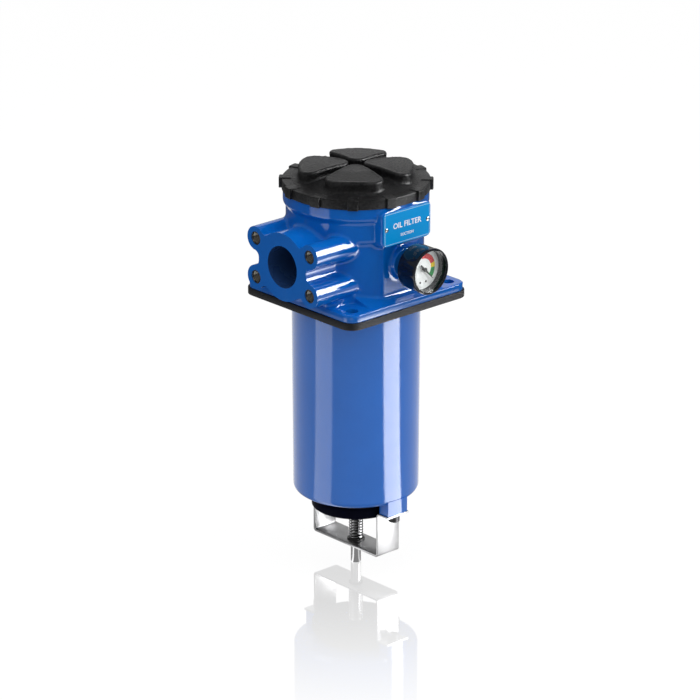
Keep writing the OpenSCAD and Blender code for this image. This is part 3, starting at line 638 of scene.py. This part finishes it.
def buildHead(size):
    half, low, deck, top = size["flange"] / 2, size["flangeLow"], size["deck"], size["top"]
    padHalf, padFace, padTop = take(size, "padHalf padFace padTop")
    face, portHeight, plateHeight = take(size, "portFace portHeight plateHeight")
    inner = half - size["land"]
    under = low - 2
    outline = [(x, y, under) for x, y in roundedBox(2 * half, 2 * half, size["corner"], 8)]
    head = pushed("headCasting", outline, (0, 0, deck - under))
    clearSelection()
    rise = inner * size["slope"]
    bpy.ops.mesh.primitive_cone_add(vertices=4, radius1=inner * sqrt(2) * mm, depth=rise * mm,
                                    location=(0, 0, (deck + rise / 2 - 0.01) * mm),
                                    rotation=(0, 0, pi / 4))
    roof = nameNew("deckRoof")
    settle(roof)
    bandLow, bandHigh = take(size, "bandStart collarStart")
    barrel = turned("barrel", [(0, under), (size["barrel"], under), (size["barrel"], bandLow),
                               (size["band"], bandLow + 2), (size["band"], bandHigh - 2),
                               (size["collar"], bandHigh + 0.5), (size["collar"], top + 2),
                               (0, top + 2)], 128)
    cutAway(barrel, block("padFlat", (padFace, -padHalf, deck), (80, padHalf, padTop)))
    pad = block("gaugePad", (0, -padHalf, low), (padFace, padHalf, padTop))
    boss = rod("gaugeBoss", (40, 0, size["gaugeHeight"]), size["boss"], size["bossFace"] - 40,
               "X", 64)
    outline = [(45, y, plateHeight + z) for y, z in roundedBox(*size["plateBoss"])]
    plateBoss = pushed("plateBoss", outline, (size["plateFace"] - 45, 0, 0))
    outline = [(x, -30, portHeight + z) for x, z in portOutline(size)]
    port = pushed("port", outline, (0, -(face + 2 - 30), 0))
    guard = copyOf(port, "portGuard")
    unite(head, roof, barrel, pad, boss, plateBoss, port)
    fillCorners(head, size["castRound"], size["voxel"])
    # the flange's pockets keep clear of the port's bosses
    wall, bend = take(size, "pocketWall pocketRound")
    reach = half + 6
    pocket = [(reach, wall, deck), (reach, reach, deck), (wall, reach, deck)]
    pocket += [(x, y, deck) for x, y in arcPoints((wall + bend, wall + bend), bend, 180, 270, 6)]
    for quarter in range(4):
        tool = pushed("pocketTool", pocket, (0, 0, 24))
        turnAbout(tool, 90 * quarter)
        cutAway(tool, copyOf(guard, "guardTwin"))
        cutAway(head, tool)
    bpy.data.objects.remove(guard)
    skinOver(head, size["voxel"])
    relax(head, 2)
    print("head cast")
    # machined: sealing face, top, port face and every bore
    cutAway(head, block("sealFace", (-80, -95, -10), (80, 80, low)))
    cutAway(head, block("topFace", (-80, -80, top), (80, 80, top + 10)))
    cutAway(head, block("portCut", (-60, -face - 10, 0), (60, -face, 95)))
    neck, bore, skirt, seal = take(size, "neckBore barrelBore skirtBore sealBore")
    shelf, skirtShelf, seat = size["neckShelf"], size["skirtShelf"], top - size["sealSeat"]
    chamber = turned("chamberTool", [
        (0, -5), (neck, -5), (neck, shelf), (bore, shelf), (bore, skirtShelf),
        (skirt, skirtShelf + 4), (skirt, seat), (seal, seat), (seal, top + 5), (0, top + 5)], 128)
    cutAway(head, chamber)
    cutAway(head, rod("portBore", (0, -95, portHeight), size["port"], 70, "Y", 96))
    for x in (-1, 1):
        for z in (-1, 1):
            start = (x * size["boltX"], -face - 2, portHeight + z * size["boltZ"])
            cutAway(head, rod("insertBore", start, size["insert"], size["insertDepth"] + 2, "Y"))
        for y in (-1, 1):
            start = (x * size["tankBolt"], y * size["tankBolt"], 0)
            cutAway(head, rod("tankBore", start, size["tankHole"], 30, "Z"))
        start = (size["plateFace"] - 4, x * size["rivet"], plateHeight)
        cutAway(head, rod("rivetBore", start, size["rivetHole"], 8, "X", 24))
    cutAway(head, rod("gaugeBore", (30, 0, size["gaugeHeight"]), size["gaugeBore"], 60, "X"))
    # bores and chamber get a darker blue: painted shade inside them
    coat(head, castPaint, innerShadePaint)
    for side in head.data.polygons:
        spot = side.center / mm
        inward = side.normal.x * spot.x + side.normal.y * spot.y < -1
        inBore = hypot(spot.x, spot.z - portHeight) < size["port"] + 0.05
        inBore = inBore and -face + 0.1 < spot.y < -40
        inChamber = spot.xy.length < seal + 0.1 and low + 0.1 < spot.z < top - 0.1
        if inBore or inChamber and (inward or spot.xy.length < skirt + 0.5):
            side.material_index = 1
    fitPiece(head, castPaint, "head", smooth=32)
    print("head machined:", len(head.data.polygons), "faces")


buildHead(headSize)


# Bowl: turned shell with two lugs

bowlSize = {
    "top": 57.3, "foot": 56.5, "depth": -184, "round": 6, "neck": 56.5, "neckTop": 17.8,
    "seat": 6.5, "groove": 54.9, "grooveTop": 13.35, "grooveLow": 10.95, "innerTop": 53,
    "innerFoot": 52.2, "floor": -178, "mouth": 33, "mouthTop": -168, "lugHalf": 11.5,
    "lugIn": 43.8, "lugLow": -194.5, "screw": 50.3, "screwHole": 2.55}


def buildBowl(size):
    depth, bend, outer, neck = take(size, "depth round foot neck")
    neckTop, inner, groove = take(size, "neckTop innerFoot groove")
    mouth, mouthTop, floor = take(size, "mouth mouthTop floor")
    half, lugIn, low = take(size, "lugHalf lugIn lugLow")
    profile = [(neck, size["seat"]), (size["top"], size["seat"])]
    profile += arcPoints((outer - bend, depth + bend), bend, 0, -90, 10)
    profile += [(mouth + 0.6, depth), (mouth, depth + 0.6), (mouth, mouthTop),
                (mouth + 4, mouthTop), (mouth + 4, floor), (inner - 3, floor), (inner, floor + 3),
                (size["innerTop"], neckTop), (neck - 0.6, neckTop), (neck, neckTop - 0.6),
                (neck, size["grooveTop"]), (groove, size["grooveTop"]),
                (groove, size["grooveLow"]), (neck, size["grooveLow"])]
    bowl = turned("bowlShell", profile, 160)
    lugs = turned("lugRound", [(0, low), (outer - 0.35, low), (outer - 0.1, low + 0.25),
                               (outer, depth + bend), (outer - 3, depth + bend),
                               (0, depth + 3)], 160)
    bars = block("lugLeft", (-70, -half, low - 5), (-lugIn, half, depth + 4))
    unite(bars, block("lugRight", (lugIn, -half, low - 5), (70, half, depth + 4)))
    keepInside(lugs, bars)
    unite(bowl, lugs)
    for side in (-1, 1):
        start = (side * size["screw"], 0, low - 2)
        cutAway(bowl, rod("lugBore", start, size["screwHole"], 11.5, "Z"))
    fitPiece(bowl, bowlPaint, "bowl")
    print("bowl done:", len(bowl.data.polygons), "faces")


buildBowl(bowlSize)


# Cover: rim with grip lugs, and four petals for the hand

coverSize = {
    "low": 99.5, "rimTop": 108.2, "rim": 65.5, "rimRound": 0.9, "grip": 67.95, "gripHalf": 4.75,
    "gripIn": 56, "gripTop": 108.85, "lugs": 12, "petalTop": 123.25, "petal": 54, "slope": 1.2,
    "fan": 70, "corner": 10, "tip": 9.2, "front": 50.6, "bow": 45, "shoulder": 4, "crown": 3.7,
    "mound": 57, "moundRise": 6.8, "wall": 4, "skirt": 56.75, "skirtLow": 86.5, "boss": 12,
    "bossBore": 8.5, "bossLow": 77.6, "ribs": 8, "ribHalf": 1.25, "ribLow": 89.5, "voxel": 0.6,
    "petalRound": 1.8, "innerCorner": 1.4}


def petalOutline(size, inset):
    # two flanks that fan out, a flat bow for the outer edge, and round corners and tip
    half, bow, corner = radians(size["fan"] / 2), size["bow"], size["corner"] - inset
    slope, back = tan(half), corner / cos(half) + inset / cos(half)
    front, tip = size["front"] - inset + bow, size["tip"]
    reach = front - corner
    a, b, c = 1 + slope ** 2, bow - slope * back, bow ** 2 + back ** 2 - reach ** 2
    x = (-b + sqrt(b * b - a * c)) / a
    y = slope * x - back
    swing, fan = degrees(atan2(y, x + bow)), size["fan"] / 2
    points = arcPoints((x, -y), corner, -fan - 90, -swing, 10)
    points += arcPoints((-bow, 0), front, 2 - swing, swing - 2, 16)
    points += arcPoints((x, y), corner, swing, fan + 90, 10)
    points += arcPoints((tip / sin(half), 0), tip - inset, fan + 90, 270 - fan, 8)
    return points


def buildPetals(size, inset, low, high):
    wall, shoulder, crown = size["petal"] - inset, size["shoulder"], size["crown"]
    profile = [(0, low - 1), (wall + size["slope"], low - 1)]
    profile += arcPoints((wall - shoulder, high - crown - shoulder), shoulder, 5, 80, 8)
    profile += [(size["petal"] / 2, high - crown / 4), (0, high)]
    dome = turned("petalDome", profile, 128)
    outline = [(x, y, low) for x, y in petalOutline(size, inset)]
    petals = []
    for quarter in range(4):
        petals.append(pushed("petal", outline, (0, 0, high - low + 2)))
        turnAbout(petals[-1], 45 + 90 * quarter)
    unite(*petals)
    keepInside(petals[0], dome)
    return petals[0]


def buildCover(size):
    low, top, mound, wall, rim, grip, bend = take(size, "low rimTop mound wall rim grip rimRound")
    inner, gripTop, half = take(size, "gripIn gripTop gripHalf")
    skirt, skirtLow, boss = take(size, "skirt skirtLow boss")
    # moulded top: petals on their mound, edges and inner corners rounded
    petals = buildPetals(size, 0, top - 2, size["petalTop"])
    softenEdges(petals, size["petalRound"], size["voxel"])
    profile = [(0, top - 4), (mound + 2, top - 4), (mound + 2, top - 0.8)]
    profile += [(mound * i / 12, top + size["moundRise"] * (1 - (i / 12) ** 3))
                for i in range(12, -1, -1)]
    dome = turned("coverMound", profile, 144)
    unite(dome, petals)
    fillCorners(dome, size["innerCorner"], size["voxel"])
    relax(dome, 2)
    # crisp rim with its grip lugs
    cover = turned("coverCap", [(0, low), (rim - 0.4, low), (rim, low + 0.4)]
                   + arcPoints((rim - bend, top - bend), bend, 0, 90, 4) + [(0, top)], 180)
    ring = turned("gripRound", [(inner, low + 0.05), (grip - 0.3, low + 0.05), (grip, low + 0.35)]
                  + arcPoints((grip - bend, gripTop - bend), bend, 0, 90, 4)
                  + [(inner + 2, gripTop), (inner, gripTop - 0.7)], 180)
    bars = None
    for i in range(size["lugs"]):
        bar = block("gripBar", (inner - 3, -half, low - 1), (80, half, 112))
        turnAbout(bar, -45 + 360 * i / size["lugs"])
        if bars:
            joinUp(bars, bar)
        else:
            bars = bar
    keepInside(ring, bars)
    roundEdges(ring, 0.3, 2, 50)
    unite(cover, ring, dome)
    # the skirt, the hollow and the ribs that press the element down
    unite(cover, turned("skirt", [(0, skirtLow), (skirt, skirtLow), (skirt, low + 1),
                                  (0, low + 1)], 128))
    hollow, ceiling = skirt - wall, top - wall
    cutAway(cover, turned("coverHollow", [(0, skirtLow - 1), (hollow, skirtLow - 1),
                                          (hollow, ceiling), (0, ceiling)], 128))
    cutAway(cover, buildPetals(size, wall, ceiling - 1, size["petalTop"] - wall))
    roof = ceiling + 0.5
    bore, bossLow, ribHalf = take(size, "bossBore bossLow ribHalf")
    post = turned("coverBoss", [(bore, bossLow), (boss, bossLow), (boss, roof), (bore, roof)], 64)
    for i in range(size["ribs"]):
        rib = block("coverRib", (boss - 1, -ribHalf, size["ribLow"]),
                    (hollow + 0.5, ribHalf, roof))
        turnAbout(rib, 45 * i)
        unite(post, rib)
    unite(cover, post)
    fitPiece(cover, coverNylon, "cover", "cover", 40)
    print("cover done:", len(cover.data.polygons), "faces")


buildCover(coverSize)


# Gasket

gasketSize = {
    "side": 143, "corner": 12.5, "height": 6.5, "hole": 58.5, "bolt": 57.5, "boltHole": 5.5}


def buildGasket(size):
    side = size["side"]
    outline = [(x, y, 0) for x, y in roundedBox(side, side, size["corner"], 12)]
    gasket = pushed("gasketSheet", outline, (0, 0, size["height"]))
    roundEdges(gasket, 0.5, 2, 50)
    cutAway(gasket, rod("gasketHole", (0, 0, -5), size["hole"], 20, "Z", 128))
    for x in (-1, 1):
        for y in (-1, 1):
            start = (x * size["bolt"], y * size["bolt"], -5)
            cutAway(gasket, rod("gasketBolt", start, size["boltHole"], 20, "Z"))
    fitPiece(gasket, gasketRubber, "flange_gasket", smooth=35)


buildGasket(gasketSize)


# Foot valve: plate, stem, spring, bush, bracket and screws

valveSize = {
    "plate": 40, "plateLow": -200.5, "plateTop": -190.5, "stem": 4.65, "stemLow": -257.5,
    "stemTop": -179.05, "pin": 3, "pinTop": -170, "sealIn": 33.8, "base": -235.2, "bush": 7.95,
    "bushBore": 4.72, "springLow": -233.7, "springOut": 6.6, "wire": 0.6, "turns": 13}


def buildValve(size):
    top, low, edge, stem = take(size, "plateTop plateLow plate stem")
    foot, shoulder, pin, tip = take(size, "stemLow stemTop pin pinTop")
    bore, sealIn = stem + 0.05, size["sealIn"]
    plate = turned("valveDisc", [
        (bore, low + 2.5), (14, low + 2.5), (15, low + 2.2), (15.6, low + 0.6), (16.2, low),
        (edge - 1.4, low), (edge - 1.1, low + 0.1), (edge - 0.1, low + 1.1), (edge, low + 1.4),
        (edge, top - 1.7), (edge - 0.25, top - 1.1), (edge - 0.9, top - 0.1), (edge - 1.2, top),
        (edge - 1.9, top), (edge - 1.9, top - 1.6), (sealIn, top - 1.6), (sealIn, top),
        (bore, top)], 128)
    fitPiece(plate, valveBlack, "valve_plate", "valve")
    shaft = turned("valveStem", [
        (0, foot), (stem - 0.9, foot), (stem - 0.3, foot + 0.3), (stem, foot + 0.9),
        (stem, shoulder), (pin, shoulder), (pin, tip), (pin - 1, tip + 1), (0, tip + 1)], 64)
    fitPiece(shaft, stemSteel, "valve_stem", "valve")
    base, seat, ring, bore = take(size, "base springLow bush bushBore")
    bush = turned("guideBush", [
        (bore, base - 3), (6.3, base - 3), (6.5, base - 2.8), (6.5, base), (ring, base),
        (ring, seat - 0.4), (ring - 0.35, seat), (bore, seat)], 64)
    fitPiece(bush, bushBlack, "guide_bush")


def buildSpring(size):
    # the first and the last turn lie flat against their seats
    wire, turns = take(size, "wire turns")
    low = size["springLow"] + wire + 0.02
    high = size["plateLow"] - wire - 0.02
    radius = (size["springOut"] - wire) * mm
    rise = high - low - 4 * wire
    points = []
    for i in range(turns * 24 + 1):
        t = i / 24
        if t < 1:
            height = low + t * 2 * wire
        elif t > turns - 1:
            height = low + 2 * wire + rise + (t - turns + 1) * 2 * wire
        else:
            height = low + 2 * wire + rise * (t - 1) / (turns - 2)
        turn = t * fullTurn
        points.append((radius * cos(turn), radius * sin(turn), height * mm))
    clearSelection()
    bpy.ops.curve.primitive_bezier_curve_add()
    spring = bpy.context.object
    coil = spring.data
    coil.splines.clear()
    line = coil.splines.new("POLY")
    line.points.add(len(points) - 1)
    for spot, point in zip(line.points, points):
        spot.co = (*point, 1)
    coil.bevel_depth = wire * mm
    coil.bevel_resolution = 4
    coil.use_fill_caps = True
    pickUp(spring)
    bpy.ops.object.convert(target="MESH")
    spring = nameNew("valveSpringWire")
    setMode("EDIT")
    closeSkin()
    coat(spring, springSteel)
    shadeSmooth(spring, 50)
    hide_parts("valve_spring")
    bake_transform(spring)


bracketSize = {
    "leg": 43, "thick": 2, "low": -237.2, "top": -194.5, "foot": 56, "bend": 3.2, "half": 13,
    "bush": 6.55, "screw": 50.3, "screwHole": 3.3}


def buildBracket(size):
    leg, thick, bend, half, low, top, foot = take(size, "leg thick bend half low top foot")
    under = arcPoints((leg - bend, low + bend), bend, -90, 0, 8)
    under += arcPoints((leg + bend - thick, top - bend), bend - thick, 180, 90, 6)
    over = arcPoints((leg + bend - thick, top - bend), bend, 90, 180, 8)
    over += arcPoints((leg - bend, low + bend), bend - thick, 0, -90, 6)
    right = under + [(foot, top - thick), (foot, top)] + over
    outline = right + [(-x, z) for x, z in reversed(right)]
    bracket = pushed("bracketStrip", [(x, -half, z) for x, z in outline], (0, 2 * half, 0))
    roundEdges(bracket, 0.3, 2, 50)
    cutAway(bracket, rod("bushHole", (0, 0, low - 3), size["bush"], 8, "Z", 64))
    for side in (-1, 1):
        start = (side * size["screw"], 0, top - 5)
        cutAway(bracket, rod("screwHole", start, size["screwHole"], 8, "Z"))
    fitPiece(bracket, stripSteel, "valve_bracket")


screwSize = {
    "head": 4.95, "high": 6, "seat": -196.5, "shank": 2.5, "key": 2.88, "shankTop": -188,
    "ridges": 30, "ridge": 0.14, "spread": 50.3}


def buildScrews(size):
    seat, side, shank, shankTop = take(size, "seat head shank shankTop")
    sides = size["ridges"] * 2
    low = seat - size["high"]
    screw = turned("bracketScrews", [
        (0, low), (side - 0.35, low), (side, low + 0.4), (side, seat), (shank, seat),
        (shank, shankTop), (0, shankTop)], sides)

    # every other side face of the head stands proud
    def knurl(centre, normal):
        if abs(normal.z) > 0.3 or centre.z > seat or abs(centre.xy.length - side) > 0.12:
            return False
        turn = atan2(centre.y, centre.x) / fullTurn * sides
        return int(round(turn - 0.5)) % 2 == 0
    pickFaces(screw, knurl)
    bpy.ops.mesh.extrude_faces_move(TRANSFORM_OT_shrink_fatten={"value": size["ridge"] * mm})
    closeSkin()
    cutAway(screw, rod("keyTool", (0, 0, low - 2), size["key"], 5, "Z", 6))
    makePair(screw, (size["spread"], 0, 0))
    fitPiece(screw, screwBlack, "bracket_screws")


buildValve(valveSize)
buildSpring(valveSize)
buildBracket(bracketSize)
buildScrews(screwSize)
print("foot valve done")


# Thread inserts in the port's bosses

insertSize = {
    "outer": 6.15, "bore": 5.1, "front": -86.4, "depth": 21.95, "pitch": 1.75, "threads": 12,
    "boltX": 34.95, "boltZ": 17.85, "height": 45.5}


def buildInserts(size):
    # one turned sleeve whose bore is a row of thread flanks, copied to the four bosses
    outer, bore, depth, pitch = take(size, "outer bore depth pitch")
    ends = [(outer - 0.3, 0), (outer, 0.3)]
    flanks = [(outer, depth), (bore, depth)]
    for i in reversed(range(size["threads"])):
        flanks += [(bore, 1.0 + (i + 0.15) * pitch), (outer - 0.35, 1.0 + (i - 0.3) * pitch)]
    flanks = [point for point in flanks if point[1] > 0.5]
    sleeve = turned("portInserts", ends + flanks + [(bore + 0.5, 0)], 48)
    turnAbout(sleeve, -90, "X")
    pieces = []
    for x in (-1, 1):
        for z in (-1, 1):
            twin = copyOf(sleeve, "insertTwin")
            moveBy(twin, (x * size["boltX"], size["front"], size["height"] + z * size["boltZ"]))
            pieces.append(twin)
    bpy.data.objects.remove(sleeve)
    joinUp(*pieces)
    inserts = nameNew("portInserts")
    fitPiece(inserts, insertSteel, "thread_inserts")


buildInserts(insertSize)


# Nameplate with its rivets

badgeSize = {
    "width": 55, "height": 30, "sheet": 0.9, "corner": 3.5, "back": 64.8, "level": 81,
    "margin": 0.9, "border": 0.42, "sink": 0.12, "rivet": 24.5, "rivetHole": 1.3,
    "lines": (("OIL FILTER", 7.0, 1.5), ("SUCTION", 3.6, -7.5))}


def plateFinish():
    finish, tree, shader, place = newFinish("plateBlueAnodised", 0.34, 0.12)
    grain = noiseOf(tree, place, 0.5, 3.0, 0.6, (1, 0.1, 1))
    colourBy(tree, shader, grain, (0.0, 0.29, 0.72), (0.002, 0.34, 0.80))
    bumpOf(tree, shader, [(grain, 0.002)])
    return finish


def inkOf(name, deep, light, rough, shine, size):
    finish, tree, shader, place = newFinish(name, rough, shine)
    colourBy(tree, shader, noiseOf(tree, place, size, 3.0), deep, light)
    return finish


def buildBadge(size):
    blue = plateFinish()
    pale = inkOf("plateBorder", (0.45, 0.70, 0.90), (0.55, 0.76, 0.93), 0.35, 0.5, 0.5)
    white = inkOf("plateLettering", (0.93, 0.95, 0.97), (0.98, 0.99, 1.0), 0.4, 0.4, 0.3)
    width, height, back, level = take(size, "width height back level")
    margin, border = take(size, "margin border")
    outline = [(back, y, level + z) for y, z in roundedBox(width, height, size["corner"], 8)]
    badge = pushed("nameplateSheet", outline, (size["sheet"], 0, 0))
    coat(badge, blue, pale)
    front = back + size["sheet"]
    pickFaces(badge, lambda centre, normal: normal.x > 0.9)
    bpy.ops.mesh.inset(thickness=margin * mm, depth=0)
    bpy.ops.mesh.inset(thickness=border * mm, depth=0)
    bpy.ops.mesh.extrude_region_move(TRANSFORM_OT_translate={"value": (-size["sink"] * mm, 0, 0)})
    setMode("OBJECT")
    for face in badge.data.polygons:
        spot = face.center / mm
        inside = -max(abs(spot.y) - width / 2, abs(spot.z - level) - height / 2)
        if face.normal.x > 0.9 and margin - 0.02 < inside < margin + border + 0.02:
            face.material_index = 1
    for side in (-1, 1):
        start = (back - 2, side * size["rivet"], level)
        cutAway(badge, rod("rivetHole", start, size["rivetHole"], 6, "X", 24))
    for words, high, rise in size["lines"]:
        clearSelection()
        bpy.ops.object.text_add(location=((front - 0.1) * mm, 0, (level + rise) * mm),
                                rotation=(pi / 2, 0, pi / 2))
        line = bpy.context.object
        line.data.body = words
        line.data.size = high * mm
        line.data.extrude = 0.06 * mm
        line.data.offset = high * 0.016 * mm
        line.data.align_x = "CENTER"
        line.data.align_y = "CENTER"
        line.data.resolution_u = 3
        pickUp(line)
        bpy.ops.object.convert(target="MESH")
        line = nameNew("nameplateLine")
        settle(line)
        coat(line, white)
        joinUp(badge, line)
    fitPiece(badge, blue, "nameplate")
    rivet = turned("nameplateRivets", [
        (0, front - 4), (1.2, front - 4), (1.2, front - 0.12), (2.1, front - 0.12),
        (2.1, front + 0.2), (1.9, front + 0.5), (1.3, front + 0.78), (0.6, front + 0.88),
        (0, front + 0.9)], 32, "X", level)
    makePair(rivet, (0, size["rivet"], 0))
    fitPiece(rivet, stemSteel, "nameplate_rivets", smooth=35)


buildBadge(badgeSize)
print("nameplate done")


# Gauge

gaugeSize = {
    "level": 45.5, "back": 74, "front": 96.2, "radius": 20.5, "dial": 85.2, "dialRadius": 18.6,
    "window": 92.7, "windowEnd": 94.2, "bossFace": 64, "hex": 14, "ringIn": 9.4, "ringOut": 14.2,
    "needle": 87.4, "spindle": 80, "turn": -46, "screwDrop": 12, "screwSpread": 3.4}


def dialFinish(size):
    finish, tree, shader, place = newFinish("dialPrinted", 0.42, 0.45)
    split = splitOf(tree, place)
    across = times(tree, split["Y"], 1000.0)
    up = reckon(tree, "SUBTRACT", times(tree, split["Z"], 1000.0), size["level"])
    angle = angleOf(tree, across, up)
    radius = reckon(tree, "SQRT", reckon(tree, "ADD", times(tree, across, across),
                                         times(tree, up, up)))
    ring = bandOf(tree, radius, size["ringIn"], size["ringOut"], 0.12)
    paper = noiseOf(tree, place, 0.4, 3.0)
    colour = mixColours(tree, paper, (0.91, 0.91, 0.90), (0.97, 0.97, 0.96))
    for start, end, ink in ((-44, -3, (0.005, 0.26, 0.05)), (-3, 17, (0.85, 0.62, 0.01)),
                            (17, 98, (0.60, 0.015, 0.02))):
        sector = times(tree, ring, bandOf(tree, angle, start, end, 0.6))
        colour = mixColours(tree, sector, colour, ink)
    tree.links.new(colour, shader.inputs["Base Color"])
    bumpOf(tree, shader, [(paper, 0.002)])
    return finish


def glassFinish():
    finish, tree, shader, place = newFinish("gaugeGlass", 0.02, Base_Color=(0.97, 0.99, 0.99),
                                            Transmission_Weight=1.0, IOR=1.45)
    bumpOf(tree, shader, [(noiseOf(tree, place, 9, 1.0), 0.002)])
    shadow = addNode(tree, "LightPath").outputs["Is Shadow Ray"]
    clear = addNode(tree, "BsdfTransparent")
    surfaceBy(tree, mixShaders(tree, shadow, shader, clear))
    return finish


def buildGauge(size):
    level, back, front, radius = take(size, "level back front radius")
    window, windowEnd, bossFace = take(size, "window windowEnd bossFace")
    dial, rim, thin = size["dial"], size["dialRadius"], size["dial"] - 0.8
    case = turned("gaugeHousing", [
        (4.05, back), (radius - 2.2, back), (radius - 1.2, back + 0.25),
        (radius - 0.3, back + 1.1), (radius, back + 2.2), (radius, front - 2.6),
        (radius - 0.5, front - 2.6), (radius - 0.5, window), (rim + 0.1, window),
        (rim + 0.1, thin), (15.1, thin), (15.1, back + 2), (4.05, back + 2)], 128, "X", level)
    fitPiece(case, gaugeBlack, "gauge_case")
    bezel = turned("gaugeRing", [
        (radius - 0.5, front - 2.5), (radius + 0.3, front - 2.5), (radius + 0.3, front - 0.9),
        (radius + 0.15, front - 0.35), (radius - 0.25, front), (19.0, front),
        (18.7, front - 0.25), (18.6, front - 0.6), (18.6, front - 1.9),
        (radius - 0.5, front - 1.9)], 128, "X", level)
    fitPiece(bezel, gaugeBlack, "gauge_bezel")
    glass = turned("gaugeGlassDisc", [
        (0, window), (19.6, window), (19.8, window + 0.2), (19.8, windowEnd - 0.2),
        (19.6, windowEnd), (0, windowEnd)], 96, "X", level)
    fitPiece(glass, glassFinish(), "gauge_window")
    sheet = turned("dialSheet", [(1.4, thin), (rim, thin), (rim, dial - 0.1), (rim - 0.1, dial),
                                 (1.4, dial)], 96, "X", level)
    fitPiece(sheet, dialFinish(size), "gauge_dial")
    # pointer: tapered needle, tail and ring hub on its spindle
    plane, spindle = take(size, "needle spindle")
    needle = [(plane, y, level + z) for y, z in ((-6.7, -0.65), (-2.0, -0.85), (0, -0.9),
                                                 (13.5, -0.18), (13.5, 0.18), (0, 0.9),
                                                 (-2.0, 0.85), (-6.7, 0.65))]
    pointer = pushed("pointerNeedle", needle, (0.5, 0, 0))
    turnAbout(pointer, size["turn"], "X", (plane, 0, level))
    hub = turned("pointerHub", [
        (0, spindle), (1, spindle), (1, plane), (1.9, plane), (1.9, plane + 1),
        (1.6, plane + 1.3), (0.9, plane + 1.3), (0.8, plane + 1), (0, plane + 1)], 48, "X", level)
    unite(pointer, hub)
    fitPiece(pointer, pointerBlack, "gauge_pointer", "pointer")
    low = level - size["screwDrop"]
    screw = turned("dialScrews", [(0, dial), (1, dial), (1, dial + 0.4), (0.8, dial + 0.6),
                                  (0, dial + 0.6)], 32, "X", low)
    cutAway(screw, block("slotTool", (dial + 0.35, -1.2, low - 0.18), (dial + 1, 1.2, low + 0.18)))
    makePair(screw, (0, size["screwSpread"], 0))
    fitPiece(screw, screwBlack, "dial_screws")
    stub = turned("gaugeStub", [
        (2, 53.5), (4.8, 53.5), (4.8, bossFace), (7, bossFace), (8.08, bossFace + 0.9),
        (8.08, back - 0.9), (7, back), (4, back), (4, back + 3.5), (2, back + 3.5)],
                  60, "X", level)
    hexagon = rod("stubHex", (bossFace, 0, level), size["hex"] / sqrt(3), back - bossFace, "X", 6)
    unite(hexagon, rod("stubRound", (50, 0, level), 4.9, 32, "X"))
    keepInside(stub, hexagon)
    fitPiece(stub, gaugeBrass, "gauge_stub", smooth=25)


buildGauge(gaugeSize)
print("gauge done")


# Inner nodes keep their CAD shape and get a worked finish

def meshFinish():
    finish, tree, shader, place = newFinish("wovenWireMesh", 0.35, Base_Color=(0.5, 0.5, 0.47),
                                            Metallic=1.0)
    weave = None
    for axis in ("X", "Y", "Z"):
        wave = addNode(tree, "TexWave", {"Vector": place, "Scale": 320.0},
                       bands_direction=axis).outputs["Fac"]
        weave = wave if weave is None else reckon(tree, "MAXIMUM", weave, wave)
    colourBy(tree, shader, weave, (0.18, 0.18, 0.17), (0.58, 0.58, 0.55))
    bumpOf(tree, shader, [(weave, 0.1)])
    return finish


innerFinishes = {
    "bowl_seal": sealRubber, "cover_seal": sealRubber, "element_seal": sealRubber,
    "valve_seal": sealRubber, "element_top_cap": capSteel, "element_bottom_cap": capSteel,
    "support_cage": capSteel, "filter_mesh": meshFinish(), "stem_nut": brightSteel,
    "gauge_movement": gaugeBrass, "bourdon_tube": gaugeBrass}
for name, finish in innerFinishes.items():
    for place in cadNodes[name].material_slots:
        place.material = finish
clearSelection()
print("inner nodes finished")
